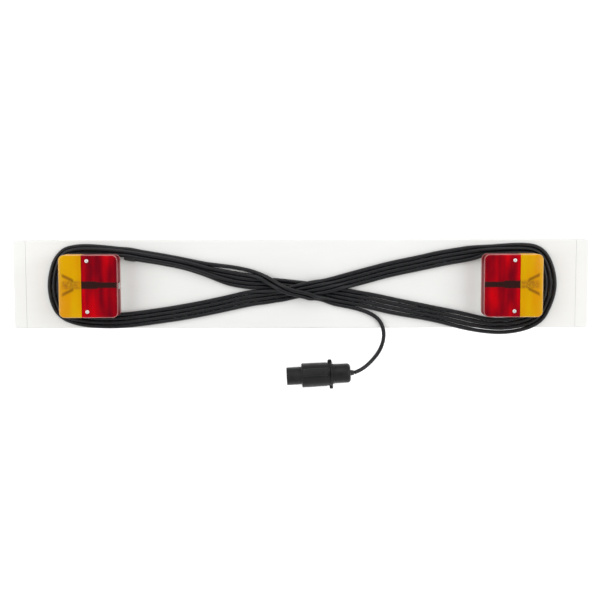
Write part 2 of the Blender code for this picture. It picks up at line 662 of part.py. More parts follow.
def build_bolt(side, number, place, frame, material):
    """A bolt from inside the lamp's base through the board, and its nut behind the board's plate."""
    seat = BASE_FLOOR + GAP
    bm = bmesh.new()
    stations = [(-0.0105, BOLT_RADIUS - 0.0004), (-0.0100, BOLT_RADIUS), (seat, BOLT_RADIUS),
                (seat, BOLT_HEAD_RADIUS), (seat + 0.0018, BOLT_HEAD_RADIUS),
                (seat + 0.0026, BOLT_HEAD_RADIUS - 0.0012)]
    add_turned(bm, stations, steps=12)
    make_object(f"{side}_mount_bolt_{number}", bm, material, frame, (*place, 0.0), smooth=True)
    top = -BOARD_PLATE - GAP
    bottom = top - NUT_HEIGHT
    hexagon = [(x, y) for x, y, _ in circle_loop(NUT_RADIUS, 0.0, steps=6)]
    outer = []
    for i, corner in enumerate(hexagon):
        following = hexagon[(i + 1) % 6]
        outer += [corner, ((corner[0] + following[0]) / 2, (corner[1] + following[1]) / 2)]
    inner = [(x, y) for x, y, _ in circle_loop(BOLT_HOLE_RADIUS, 0.0, steps=12)]
    bm = bmesh.new()
    loops = [at_height(outer, bottom), at_height(outer, top), at_height(inner, top), at_height(inner, bottom)]
    add_loft(bm, loops, ring=True)
    make_object(f"{side}_mount_nut_{number}", bm, material, frame, (*place, 0.0))


def build_lamp(side, materials):
    frame = make_empty(f"{side}_lamp_frame", (0.0, 0.0, 0.0))
    frame.matrix_world = lamp_frame(side)
    build_gasket(side, frame, materials["rubber"])
    build_base(side, frame, materials["base"])
    build_seal(side, frame, materials["rubber"])
    half = LENS_LENGTH / 2
    build_lens(side, "amber", -half, COLOUR_JOINT_X - GAP / 2, frame, materials["amber"])
    red = build_lens(side, "red", COLOUR_JOINT_X + GAP / 2, half, frame, materials["red"])
    cut_screw_holes(red)
    if side == "left":
        build_number_plate_window(red, frame, materials["clear"])
    upper = 1 if side == "left" else -1
    build_lens_screw(f"{side}_upper_lens_screw", upper, frame, materials["screw"])
    build_lens_screw(f"{side}_lower_lens_screw", -upper, frame, materials["screw"])
    build_carrier(side, frame, materials["carrier"])
    build_bulb(side, "stop", frame, (CARRIER_X[1] + GAP, 0.0, BULB_Z), 0.0, materials)
    build_bulb(side, "indicator", frame, (CARRIER_X[0] - GAP, 0.0, BULB_Z), math.pi, materials)
    for number, place in enumerate(BOLT_PLACES, start=1):
        build_bolt(side, number, place, frame, materials["screw"])


# Cable

def build_gland(material):
    """The moulded hood that the lead leaves the board by, with a spigot through the plate."""
    frame = make_empty("gland_frame", (0.0, 0.0, 0.0))
    frame.matrix_world = gland_frame()
    loops = []
    for x, scale in ((-1.0, 0.70), (-0.65, 1.0), (0.55, 1.0), (1.0, 0.90)):
        radius = GLAND_RADIUS * scale
        loop = [(radius, GAP)]
        loop += [(radius * math.cos(math.radians(a)), GAP + radius * (1 + math.sin(math.radians(a))))
                 for a in range(0, 181, 30)]
        loop.append((-radius, GAP))
        loops.append([(x * GLAND_HALF_LENGTH, y, z) for y, z in loop])
    bm = bmesh.new()
    add_loft(bm, loops)
    gland = make_object("lead_gland", bm, material, frame)
    bm = bmesh.new()
    bottom = -BOARD_PLATE - 0.001
    add_turned(bm, [(bottom, GLAND_SPIGOT_RADIUS), (0.0015, GLAND_SPIGOT_RADIUS)], (GLAND_SPIGOT_X, 0.0))
    boolean(gland, "UNION", bm)


def build_winding(material):
    """The wound lead's outer shape: one flat figure of eight round the two lamps."""
    outer = [station[1] for station in LEFT_STATIONS]
    outer += reversed(CROSSING_BOTTOM)
    outer += [station[1] for station in reversed(RIGHT_STATIONS)]
    outer += reversed(CROSSING_TOP)
    low, high = WINDING_Z
    bm = bmesh.new()
    rim = [(p.x, p.y) for p in smooth_curve(outer, 2, closed=True)]
    add_loft(bm, [at_height(rim, low), at_height(rim, high)])
    winding = make_object("cable_winding", bm, material)
    bm = bmesh.new()
    for stations in (LEFT_STATIONS, RIGHT_STATIONS):
        eye = [(p.x, p.y) for p in smooth_curve([station[0] for station in stations], 2, closed=True)]
        add_loft(bm, [at_height(eye, low - 0.001), at_height(eye, high + 0.001)])
    boolean(winding, "DIFFERENCE", bm)
    reach = GLAND_HALF_LENGTH + GAP
    side = GLAND_RADIUS + GAP
    pocket = box_loops((-reach, reach), (-side, side), (-0.001, 2 * GLAND_RADIUS + 2 * GAP))
    bm = bmesh.new()
    add_loft(bm, [[gland_frame() @ Vector(p) for p in loop] for loop in pocket])
    boolean(winding, "DIFFERENCE", bm)


def build_clip(name, x, material):
    """A cable clip stuck under the board's plate, with the crossover cable through it."""
    y = -0.052
    half = CLIP_SIZE / 2
    top = BOARD_DEPTH - BOARD_PLATE - GAP
    bm = bmesh.new()
    add_loft(bm, box_loops((x - half, x + half), (y - half, y + half), (CHANNEL_CABLE_Z - 0.004, top)))
    clip = make_object(name, bm, material)
    bm = bmesh.new()
    bore = CROSSOVER_RADIUS + 0.0007
    ends = [(x - half - 0.001, bore), (x + half + 0.001, bore)]
    add_turned(bm, ends, (y, CHANNEL_CABLE_Z), axis="X", steps=12)
    boolean(clip, "DIFFERENCE", bm)


def build_cables(materials):
    build_gland(materials["rubber"])
    build_winding(materials["cable"])
    make_cable("cable_tail", TAIL_ROUTE, CABLE_RADIUS, 0.009, materials["cable"])
    make_cable("lead_inner_run", LEAD_RUN_ROUTE, CABLE_RADIUS, 0.005, materials["cable"])
    make_cable("crossover_cable", CROSSOVER_ROUTE, CROSSOVER_RADIUS, 0.011, materials["cable"])
    build_clip("left_cable_clip", -CLIP_X, materials["rubber"])
    build_clip("right_cable_clip", CLIP_X, materials["rubber"])


# Plug

def build_plug_body(frame, material):
    """The plug's front half: a shroud round the pins, a wider body, and the key along one side."""
    front = PLUG_LENGTH
    step = front - SHROUD_LENGTH
    rear = BODY_REAR
    chamfer = 0.001
    shoulder = step - 0.003
    stations = [(rear, BODY_RADII[0]), (step - chamfer, BODY_RADII[1]), (step, BODY_RADII[1] - chamfer),
                (step, SHROUD_RADIUS), (front - chamfer, SHROUD_RADIUS), (front, SHROUD_RADIUS - chamfer / 2),
                (front, SHROUD_BORE), (shoulder, SHROUD_BORE), (shoulder, BODY_BORE), (rear, BODY_BORE)]
    bm = bmesh.new()
    add_turned(bm, stations, axis="X", ring=True, steps=32)
    body = make_object("plug_body", bm, material, frame, smooth=True)
    half = KEY_WIDTH / 2
    corner = 0.0015
    low = BODY_RADII[0] - 0.002
    key = [(-half, low), (half, low), (half, KEY_REACH - corner), (half - corner, KEY_REACH),
           (-half + corner, KEY_REACH), (-half, KEY_REACH - corner)]
    turn = Matrix.Rotation(KEY_TURN, 3, "X")
    loops = [[turn @ Vector((x, -z, y)) for y, z in key] for x in (rear + 0.004, step - 0.002)]
    bm = bmesh.new()
    add_loft(bm, loops)
    boolean(body, "UNION", bm)


def build_plug_insert(frame, material):
    """The carrier of the seven pins, held against the shoulder inside the body."""
    shoulder = PLUG_LENGTH - SHROUD_LENGTH - 0.003
    flange = BODY_BORE - GAP
    neck = SHROUD_BORE - GAP
    stations = [(shoulder - 0.007, flange), (shoulder - GAP, flange), (shoulder - GAP, neck),
                (shoulder + 0.006, neck)]
    bm = bmesh.new()
    add_turned(bm, stations, axis="X", steps=24)
    make_object("plug_insert", bm, material, frame, smooth=True)


def build_plug_pins(frame, material):
    """One pin in the middle and six round it, standing on the insert's front face."""
    root = PLUG_LENGTH - SHROUD_LENGTH + 0.003 + GAP
    tip = PLUG_LENGTH - 0.0045
    places = [(0.0, 0.0)]
    places += [(PIN_CIRCLE * math.cos(math.radians(60 * i)), PIN_CIRCLE * math.sin(math.radians(60 * i)))
               for i in range(6)]
    for number, place in enumerate(places, start=1):
        bm = bmesh.new()
        stations = [(root, PIN_RADIUS), (tip - 0.0012, PIN_RADIUS), (tip, PIN_RADIUS - 0.0012)]
        add_turned(bm, stations, place, axis="X", steps=10)
        make_object(f"plug_pin_{number}", bm, material, frame, smooth=True)


def build_plug_rear_cap(frame, material):
    """The plug's twist-off rear half: a sleeve with a rounded end, a ring with two lugs, and a spigot."""
    ring_front = BODY_REAR - GAP
    ring_rear = ring_front - RING_THICKNESS
    spigot = BODY_BORE - GAP
    mouth = REAR_START + REAR_WALL
    bend = 0.005
    arc = []
    for angle in (0, 30, 60, 90):
        a = math.radians(angle)
        arc.append((REAR_START + bend * (1 - math.cos(a)), REAR_RADIUS - bend * (1 - math.sin(a))))
    stations = [*arc, (ring_rear, REAR_RADIUS), (ring_rear, RING_RADIUS), (ring_front, RING_RADIUS),
                (ring_front, spigot), (ring_front + 0.008, spigot), (ring_front + 0.008, REAR_BORE),
                (mouth, REAR_BORE), (mouth, BOOT_BORE), (REAR_START, BOOT_BORE)]
    bm = bmesh.new()
    add_turned(bm, stations, axis="X", ring=True, steps=32)
    cap = make_object("plug_rear_cap", bm, material, frame, smooth=True)
    half = LUG_WIDTH / 2
    bm = bmesh.new()
    for sign, reach, corner in LUGS:
        front = ring_front + reach
        lug = [(ring_rear, LUG_ROOT)]
        for centre, start in ((ring_rear + corner, 180), (front - corner, 90)):
            for i in range(3):
                angle = math.radians(start - 45 * i)
                lug.append((centre + corner * math.cos(angle), LUG_REACH - corner + corner * math.sin(angle)))
        lug.append((front, LUG_ROOT))
        add_loft(bm, [[(x, sign * y, z) for x, y in lug] for z in (-half, half)])
    boolean(cap, "UNION", bm)


def build_plug_boot(frame, material):
    """The cable's nose on the plug: a small cone with a neck through the rear cap's end."""
    neck = BOOT_BORE - GAP
    flange = BOOT_FLANGE_RADIUS
    seat = REAR_START + REAR_WALL + GAP
    stations = [(0.0, CABLE_RADIUS + 0.0006), (0.004, neck), (seat, neck), (seat, flange),
                (seat + 0.002, flange)]
    bm = bmesh.new()
    add_turned(bm, stations, axis="X", steps=16)
    make_object("plug_cable_boot", bm, material, frame, smooth=True)


def build_plug(materials):
    frame = make_empty("plug_frame", PLUG_REAR, PLUG_TURN)
    build_plug_body(frame, materials["plug"])
    build_plug_insert(frame, materials["insert"])
    build_plug_pins(frame, materials["brass"])
    build_plug_rear_cap(frame, materials["plug"])
    build_plug_boot(frame, materials["rubber"])


def main():
    clear_scene()
    materials = {
        "board": make_material("board_white_plastic", (0.86, 0.86, 0.84), 0.45),
        "base": make_material("lamp_base_plastic", (0.78, 0.77, 0.74), 0.50),
        "amber": make_material("amber_lens_acrylic", (0.90, 0.42, 0.01), 0.12, transmission=0.6),
        "red": make_material("red_lens_acrylic", (0.60, 0.01, 0.01), 0.12, transmission=0.6),
        "clear": make_material("clear_window_acrylic", (0.90, 0.90, 0.88), 0.08, transmission=0.9),
        "screw": make_material("zinc_plated_steel", (0.80, 0.80, 0.78), 0.30, metallic=1.0),
        "carrier": make_material("bulb_carrier_steel", (0.12, 0.11, 0.10), 0.40, metallic=0.8),
        "holder": make_material("bulb_holder_steel", (0.45, 0.44, 0.42), 0.35, metallic=1.0),
        "bulb_cap": make_material("bulb_cap_brass", (0.70, 0.58, 0.32), 0.30, metallic=1.0),
        "bulb_glass": make_material("bulb_glass", (0.95, 0.95, 0.95), 0.05, transmission=0.95),
        "rubber": make_material("black_rubber", (0.03, 0.03, 0.03), 0.75),
        "cable": make_material("black_cable_sheath", (0.02, 0.02, 0.022), 0.45),
        "plug": make_material("plug_black_plastic", (0.025, 0.025, 0.025), 0.50),
        "insert": make_material("plug_insert_plastic", (0.16, 0.12, 0.08), 0.60),
        "brass": make_material("pin_brass", (0.75, 0.60, 0.30), 0.25, metallic=1.0),
    }
    build_board_panel(materials["board"])
    for side in ("left", "right"):
        build_end_cap(side, materials["board"])
        build_lamp(side, materials)
    build_cables(materials)
    build_plug(materials)


main()
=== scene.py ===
"""Looks of the trailer lighting board: its lead, lamps, plug, finishes, light and camera."""

import math

import bmesh
import bpy
import numpy as np
from mathutils import Matrix, Vector


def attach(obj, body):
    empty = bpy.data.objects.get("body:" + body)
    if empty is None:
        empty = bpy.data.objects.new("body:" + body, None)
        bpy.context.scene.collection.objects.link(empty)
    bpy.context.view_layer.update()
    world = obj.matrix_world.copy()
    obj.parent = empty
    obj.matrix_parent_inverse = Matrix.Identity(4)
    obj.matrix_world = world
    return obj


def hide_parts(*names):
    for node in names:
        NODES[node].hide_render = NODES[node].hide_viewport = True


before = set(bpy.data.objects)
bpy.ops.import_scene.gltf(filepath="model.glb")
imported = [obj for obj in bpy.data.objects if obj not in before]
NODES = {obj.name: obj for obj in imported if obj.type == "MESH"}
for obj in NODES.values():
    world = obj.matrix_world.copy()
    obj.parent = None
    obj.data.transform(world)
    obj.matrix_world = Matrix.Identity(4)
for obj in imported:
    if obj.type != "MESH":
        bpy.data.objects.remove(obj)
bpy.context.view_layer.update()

FACE_Z = 0.020  # the board's face
LAMP_X = 0.330  # a lamp's middle, from the board's middle
GAP = 0.0003  # between pieces that lie close
WHITE = (1.0, 1.0, 1.0)

CAMERA_PLACE = (0.0, 0.1305, 1.750)
CAMERA_TILT = 0.0900
CAMERA_YAW = 0.00078
CAMERA_ROLL = -0.0020
CAMERA_LENS = 65.39
CAMERA_REACH = 20.0

# Lead
LEAD_RADIUS = 0.00315
LEAD_STEP = 0.0042  # spacing of the lead's points
GLAND_PLACE = (-0.271, 0.0415)
GLAND_TURN = math.radians(-9.6)
GLAND_HALF_LENGTH = 0.009
GLAND_RADIUS = 0.0043
GLAND_TRIMS = (0.002, 0.001)  # the depth of its rounded ends
GLAND_RUN = 0.010  # the lead leaves the gland straight for this far
GLAND_POINTS = 5  # the lead's first points, which leave the gland
JOIN_STATION = 5  # left station where the lead from the gland joins the band
BASE_SIZE = (0.082, 0.088)  # the lamp base that the lead goes round
BASE_CORNER = 0.006
UNDER_LENS = (0.0485, 0.0515)  # half size of the place under a lens
UNDER_LENS_TOP = 0.0131  # the lead stays below this height over the face there
TURN_COUNT = 4
CLOSE_PITCH = 0.0067  # strands side by side round a lamp
LAMP_REACH = 0.285  # the band is round a lamp beyond this distance from the middle
TAIL_LENGTH = 0.125  # the free end, which lies as the route says

# How the lead is laid down
ROUTE_STEPS = 8  # points to each span of the route
ROUTE_BLURS = (10, 12)  # smoothing passes before and after the points are spaced evenly
SETTLE_ROUNDS = 260
LAST_ROUNDS = 30  # rounds that only part the strands
PAIR_ROUNDS = 10  # rounds between searches for strands that are close
PAIR_REACH = 0.0125
PAIR_SKIP = 7  # points this near along the lead don't press on each other
PAIR_BLOCK = 256
STRAND_CLEARANCE = 0.00004
REST_CLEARANCE = 0.0001  # from the board and the gland
SINK = 0.00006  # fall in each round
PUSH_GAIN = 1.6
DRIFT_KEPT = 0.97  # of a point's move off its route, in each round
DRIFT_BLURS = (0.6, 0.10)  # smoothing of those moves, at first and in the last rounds

# The winding on the board's face: (inside of the band, outside of the band) at each station,
# from the crossing along the upper side, round the lamp and back along the lower side.
LEFT_STATIONS = (
    ((-0.081, -0.0075), (-0.081, 0.0251)), ((-0.113, -0.0004), (-0.113, 0.0314)),
    ((-0.145, 0.0108), (-0.145, 0.0346)), ((-0.177, 0.0218), (-0.177, 0.0399)),
    ((-0.208, 0.0288), (-0.208, 0.0461)), ((-0.240, 0.0345), (-0.240, 0.0513)),
    ((-0.272, 0.0395), (-0.272, 0.0552)), ((-0.296, 0.0450), (-0.300, 0.0598)),
    ((-0.335, 0.0450), (-0.336, 0.0626)), ((-0.358, 0.0450), (-0.358, 0.0619)),
    ((-0.3704, 0.0434), (-0.3790, 0.0523)), ((-0.3720, 0.030), (-0.3960, 0.0295)),
    ((-0.3722, 0.000), (-0.4034, -0.0020)), ((-0.3720, -0.030), (-0.397, -0.0338)),
    ((-0.3704, -0.0434), (-0.3790, -0.0528)), ((-0.358, -0.0450), (-0.358, -0.0619)),
    ((-0.330, -0.0452), (-0.330, -0.0678)), ((-0.300, -0.0460), (-0.302, -0.0697)),
    ((-0.272, -0.0450), (-0.272, -0.0673)), ((-0.240, -0.0402), (-0.240, -0.0641)),
    ((-0.208, -0.0349), (-0.208, -0.0604)), ((-0.177, -0.0295), (-0.177, -0.0556)),
    ((-0.145, -0.0233), (-0.145, -0.0494)), ((-0.113, -0.0163), (-0.113, -0.0426)),
    ((-0.081, -0.0086), (-0.081, -0.0354)),
)
RIGHT_STATIONS = (
    ((0.078, -0.0062), (0.078, 0.0195)), ((0.110, 0.0020), (0.110, 0.0283)),
    ((0.142, 0.0115), (0.142, 0.0362)), ((0.190, 0.0211), (0.190, 0.0458)),
    ((0.221, 0.0275), (0.221, 0.0537)), ((0.269, 0.0387), (0.269, 0.0583)),
    ((0.296, 0.0450), (0.300, 0.0605)), ((0.330, 0.0450), (0.333, 0.0629)),
    ((0.358, 0.0450), (0.362, 0.0626)), ((0.3704, 0.0434), (0.3825, 0.0562)),
    ((0.3720, 0.030), (0.4013, 0.0299)), ((0.3722, 0.000), (0.4077, -0.0050)),
    ((0.3720, -0.030), (0.3997, -0.0338)), ((0.3704, -0.0434), (0.3815, -0.0620)),
    ((0.358, -0.0450), (0.357, -0.0754)), ((0.325, -0.0460), (0.322, -0.0812)),
    ((0.295, -0.0485), (0.290, -0.0790)), ((0.262, -0.0447), (0.254, -0.0726)),
    ((0.221, -0.0364), (0.221, -0.0631)), ((0.190, -0.0301), (0.190, -0.0567)),
    ((0.142, -0.0200), (0.142, -0.0488)), ((0.110, -0.0131), (0.094, -0.0434)),
    ((0.078, -0.0086), (0.062, -0.0354)),
)
LOOSE_GAPS = (0.0030, 0.0058, 0.0028)  # beside the outermost strand at the first left stations
UPPER_LEFT_SPAN = 7  # left stations where a fifth strand has joined the four
LOWER_RIGHT_SPAN = 2  # right stations where the last pass lies beside the four
TAIL_ROUTE = (
    (0.1200, -0.0513, 0.0235), (0.1262, -0.0572, 0.0235), (0.1310, -0.0672, 0.0235),
    (0.1328, -0.0750, 0.0229), (0.1332, -0.0825, 0.0195), (0.1324, -0.0945, 0.0108),
    (0.1268, -0.1110, 0.0046), (0.1155, -0.1248, 0.0055), (0.1040, -0.1346, 0.0118),
    (0.0952, -0.1403, 0.0172), (0.0900, -0.1422, 0.0193), (0.0854, -0.1427, 0.0196),
)

# Strands through the middle of the winding, from left to right, as (x, y) in mm and a height in diameters.
# A key holds the strand's lane on the left and its lane on the right.
FALLING = {
    (0, 2): ((-49, -5.5, 0), (-20, -9.2, 0), (0, -11.4, 0), (30, -15.0, 0), (54, -19.3, 0)),
    (1, 1): ((-49, 0.5, 0), (-20, -3.2, 0), (0, -5.3, 0), (30, -8.5, 0), (54, -12.5, 0)),
    (2, 0): ((-49, 6.5, 0), (-20, 3.0, 0), (0, 1.0, 0), (30, -2.0, 0), (54, -6.0, 0)),
    (3, 4): ((-70, 10.5, .5), (-58, 5.0, 1), (-47, -1.0, 1.5), (-34, -7.8, 2), (-22, -12.0, 2.0),
             (-12, -14.6, 1.8), (0, -15.2, 1.7), (14, -17.2, 1.1), (30, -21.8, .3), (54, -30.2, 0)),
    (4, 3): ((-66, 16.5, .3), (-49, 7.8, 1), (-38, 0.8, 1.5), (-25, -5.5, 2.1), (-13, -11.3, 2.1),
             (-3, -10.6, 2.2), (10, -12.4, 2.1), (30, -17.6, 1.3), (54, -25.0, .5)),
}
RISING = {
    (0, 3): ((-66, -10.8, .1), (-49, -9.6, .3), (-34, -8.0, .6), (-20, -6.2, .9), (0, -2.0, 1),
             (30, 3.2, 1), (54, 8.6, .9)),
    (1, 2): ((-66, -16.8, 0), (-49, -14.6, .1), (-34, -13.0, .4), (-20, -11.6, .8), (0, -7.6, 1),
             (30, -2.6, 1), (54, 2.6, .9)),
    (2, 1): ((-66, -22.8, 0), (-49, -20.0, 0), (-34, -18.0, .1), (-20, -15.4, .5), (0, -11.6, 1),
             (30, -7.6, 1), (54, -3.2, .9)),
    (3, 0): ((-66, -28.8, 0), (-49, -25.0, 0), (-34, -22.0, 0), (-20, -19.0, .2), (0, -15.6, .8),
             (30, -12.8, 1), (54, -8.8, .9)),
}

# Lamp, in its own frame: z = 0 on the board's face, +x towards the middle of the board
LENS_LENGTH = 0.092
LENS_WIDTH = 0.098
LENS_FRONT = 0.046
LENS_BOTTOM = 0.0166
LENS_WALL = 0.0025
LENS_CORNER = 0.009
LENS_EDGE = 0.002
COLOUR_JOINT_X = -0.0105  # where the amber moulding meets the red one
FLUTE_PITCH = 0.0036
FLUTE_DEPTH = 0.0007
FLUTE_STEPS = 8
PILLAR_X = -0.0017
PILLAR_Y = 0.0396
PILOT_RADIUS = 0.0020
COUNTERBORE = 0.0012
COUNTERBORE_RADIUS = 0.0035
WINDOW_HALF = 0.005
WINDOW_Z = (0.020, 0.038)
CUT_PAST = 0.001  # cutting solids reach this far past what they cut

# Bulbs, drawn along x from the back of the holder
BULB_Z = 0.0215
BULB_STARTS = {"stop": -0.0011, "indicator": -0.0033}
GLASS_NECK = 0.0153
GLASS_RADIUS = 0.009
GLASS_TIP = 0.0355
GLASS_WALL = 0.0006
GLASS_LEAST_RADIUS = 0.0002  # of its inside, at the tip
# (distance past the neck, radius)
NECK_PROFILE = ((0.0, 0.0062), (0.0012, 0.0063), (0.0028, 0.0070), (0.0045, 0.0082), (0.0062, 0.0088),
                (0.0080, GLASS_RADIUS))
# (distance past the neck, distance from the axis)
SUPPORT_ROUTE = ((0.0004, 0.0012), (0.0040, 0.0014), (0.0070, 0.0026), (0.0103, 0.0030))
SUPPORT_RADIUS = 0.00022
COIL_PLACE = 0.0100  # the filament's middle, past the neck
COIL_LENGTH = 0.0060
COIL_TURNS = 12
COIL_STEPS = 8
COIL_RADIUS = 0.00035
FILAMENT_RADIUS = 0.00009
BEAD_PLACE = 0.0045
BEAD_RADIUS = 0.0016

# Plug, drawn along x from its cable end
PLUG_REAR = (0.0847, -0.1427, 0.0196)
PLUG_TURN = math.radians(183.1)
PLUG_LENGTH = 0.1077
SHROUD_RADIUS = 0.01425
SHROUD_BORE = 0.0118
SHROUD_LENGTH = 0.024
SHOULDER_DEPTH = 0.003  # the wall where the wide bore becomes the shroud's
BODY_RADII = (0.0186, 0.0194)  # at its rear, at its front
BODY_BORE = 0.0160
BODY_REAR = 0.0377
BODY_EDGE = 0.0016
# (distance along, distance off the radius) at the steps in the plug's profile
REAR_STEPS = ((0.0, -0.0006), (0.0006, 0.0), (0.006, 0.0001), (0.0064, 0.0004))
RING_FOOT = ((-0.0030, 0.0), (-0.0024, 0.0006), (0.0, 0.0008))
SHROUD_FOOT = ((0.0, 0.0008), (0.0003, 0.0002), (0.0008, 0.0))
RIM_EDGE = 0.0007
KEY_REACH = 0.0220
KEY_ROOT = 0.002  # the key starts this far inside the body
KEY_WIDTH = 0.0120
KEY_EDGE = 0.0018
KEY_ENDS = (0.004, 0.002)  # its distances from the body's rear and from the shroud
KEY_TAPER = 0.001  # its ends shrink over this length
KEY_SHRINK = 0.97
KEY_TURN = math.radians(-70)
RING_RADIUS = 0.020
RING_THICKNESS = 0.003
RING_BEVEL = 0.0005
SPIGOT_LENGTH = 0.008  # of the rear cap, inside the body
LUG_REACH = 0.0235
LUG_ROOT = 0.0191
LUG_WIDTH = 0.0065
LUG_BEVEL = (0.0005, 0.0004)  # across the lug, and off its outline
LUG_INSET = 0.0001  # from the ring's rear
LUGS = ((-1, 0.0040, 0.0028), (1, 0.0025, 0.0010))  # side, reach over the body, corner radius
REAR_RADIUS = 0.0155
REAR_BORE = 0.0125
REAR_START = 0.0055
REAR_BEND = 0.005
REAR_WALL = 0.004
BOOT_BORE = 0.0047

# Shading
SHARP_ANGLE = 35.0  # degrees
GLASS_SHARP_ANGLE = 60.0
NODE_SHARP_ANGLE = 30.0

# Finishes
LENS_TRANSMISSION = 0.52
LENS_IOR = 1.45
LENS_SPECULAR = 0.10
WALL_ROUGHNESS = 0.46  # of a lens's side walls
# grey steps of the painted light and dark streaks in the lens fronts
GREY_STEPS = ((0.30, (0.0, 0.0, 0.0)), (0.70, WHITE))
EDGE_LOW = FACE_Z + LENS_FRONT - LENS_EDGE + 0.0004  # the lens's rounded front edge, in height
EDGE_HIGH = FACE_Z + LENS_FRONT - 0.0004
LENS_FOOT = FACE_Z + LENS_BOTTOM + 0.005  # the side walls are pale below this
# (height, share) stops of a lens's painted highlight on its rounded edge, its side walls and their pale foot
RIM_STOPS = ((EDGE_LOW - 0.0006, 0.0), (EDGE_LOW, 0.7), (EDGE_HIGH, 0.7), (EDGE_HIGH + 0.0002, 0.0))
WALL_STOPS = ((EDGE_LOW - 0.0014, 1.0), (EDGE_LOW, 0.0))
FOOT_STOPS = ((LENS_FOOT, 0.8), (LENS_FOOT + 0.002, 0.0))
RIM_INSET = 0.004  # the painted edge highlight keeps this near the lens's outline
RIM_FADE = 0.0004
BOARD_EDGE = (FACE_Z - 0.0020, FACE_Z - 0.0001)  # painted shade darkens the board between these heights
BOARD_EDGE_PAINTED_SHADE = (0.60, 0.60, 0.585)

# Painted shade in the lenses, standing in for the dark strip, the bulbs and the ribs that show through them,
# at distances from the board's middle
PAINTED_SHADE_SHIFT = 0.0022  # the painted shades' middle line lies this far towards +y of the lamp's
STRIP_PAINTED_SHADE = (0.050, 0.018, 0.016)
STRIP_HALVES = (0.0062, 0.0046)  # half widths, beside the colour joint and beyond
STRIP_STEP_X = (0.3135, 0.3175)  # the strip narrows from here to there
STRIP_FADE = (-0.0006, 0.0012)
RIB_SLOPE = 0.49  # the ribs' two shadows open away from the colour joint
RIB_OFFSET = -0.1663
RIB_HALF = 0.0025
RIB_SHADOW_X = (0.3510, 0.3720)
RIB_END_FADE = 0.003
RIB_PAINTED_SHADOW = (0.34, 0.15, 0.008)
BULB_SHADOW_X = (0.3395, 0.3725)
BULB_SHADOW_HALF = 0.0065
BULB_FADE = (-0.0015, 0.0020)
BULB_END_FADE = 0.004
BULB_PAINTED_SHADOW = (0.46, 0.20, 0.020)

# Light and floor
WORLD_STRENGTH = 0.84
OVERHEAD = (0.16, 0.16, 0.165)
OVERHEAD_SPAN = (0.915, 0.955)  # the sky darkens between these heights on a unit sphere
FLOOR_GLOW = 0.45
FLOOR_HALF = 6.0
FLOOR_CELLS = 24
FLOOR_Z = -0.0004  # the lowest point of the plug's ring
SOFTBOXES = (  # name, place, size, power
    ("left_softbox", (-1.5, 0.2, 1.5), (1.0, 1.4), 10.5),
    ("right_softbox", (1.5, 0.2, 1.5), (1.0, 1.4), 10.5),
    ("far_softbox", (0.0, 1.6, 1.4), (2.2, 0.9), 7.0),
)


# Camera

def make_camera():
    back = Vector((math.sin(CAMERA_YAW), math.sin(CAMERA_TILT) * math.cos(CAMERA_YAW),
                   math.cos(CAMERA_TILT) * math.cos(CAMERA_YAW)))
    right = Vector((0.0, 1.0, 0.0)).cross(back).normalized()
    up = back.cross(right)
    turned = right * math.cos(CAMERA_ROLL) + up * math.sin(CAMERA_ROLL)
    upright = back.cross(turned)
    matrix = Matrix((turned, upright, back)).transposed().to_4x4()
    matrix.translation = CAMERA_PLACE
    data = bpy.data.cameras.new("camera")
    data.lens = CAMERA_LENS
    data.clip_end = CAMERA_REACH
    camera = bpy.data.objects.new("camera", data)
    camera.matrix_world = matrix
    bpy.context.scene.collection.objects.link(camera)
    bpy.context.scene.camera = camera


# Lead

def lanes_at(station, count, raised):
    """The places of count strands side by side across the band at a station. Where the band is too narrow
    for them, every other one lies raised in the groove between its neighbours."""
    inner, outer = (Vector(p) for p in station)
    width = (outer - inner).length
    across = (outer - inner) / width
    pitch = (width - 2 * LEAD_RADIUS) / (count - 1)
    if abs(inner.x) > LAMP_REACH:
        pitch = min(pitch, CLOSE_PITCH)
    rise = math.sqrt(max(0.0, (2 * LEAD_RADIUS) ** 2 - pitch ** 2))
    places = []
    for k in range(count):
        p = outer - across * (LEAD_RADIUS + (count - 1 - k) * pitch)
        places.append(Vector((p.x, p.y, rise if k % 2 == raised else 0.0)))
    return places


def upper_left_lanes(i):
    """Five strands, the outermost of them a little apart from the others near the crossing."""
    if i >= len(LOOSE_GAPS):
        return lanes_at(LEFT_STATIONS[i], TURN_COUNT + 1, 1)
    inner, outer = (Vector(p) for p in LEFT_STATIONS[i])
    across = (outer - inner).normalized()
    loose = outer - across * LEAD_RADIUS
    others = (inner, loose - across * (LEAD_RADIUS + LOOSE_GAPS[i]))
    return lanes_at(others, TURN_COUNT, 1) + [Vector((*loose, 0.0))]


def left_lane(k):
    """One strand round the left lamp, from the upper side to the lower one."""
    route = []
    for i, station in enumerate(LEFT_STATIONS):
        joined = i < UPPER_LEFT_SPAN
        lanes = upper_left_lanes(i) if joined else lanes_at(station, TURN_COUNT, 0)
        route.append(lanes[k + 1 if joined else k])
    return route


def right_lane(k):
    """One strand round the right lamp, from the upper side to the lower one."""
    alone = [lanes_at(station, TURN_COUNT, 0)[k] for station in RIGHT_STATIONS[:-LOWER_RIGHT_SPAN]]
    return alone + [lanes_at(station, TURN_COUNT + 1, 1)[k] for station in RIGHT_STATIONS[-LOWER_RIGHT_SPAN:]]


def crossing(strands, key):
    """One strand through the middle, in metres over the place of a strand that lies on the board."""
    return [Vector((x / 1000, y / 1000, level * 2 * LEAD_RADIUS)) for x, y, level in strands[key]]


def gland_exit():
    turn = Matrix.Rotation(GLAND_TURN, 2)
    end = Vector(GLAND_PLACE) + turn @ Vector((GLAND_HALF_LENGTH, 0.0))
    return Vector((end.x, end.y, FACE_Z + LEAD_RADIUS + GAP))


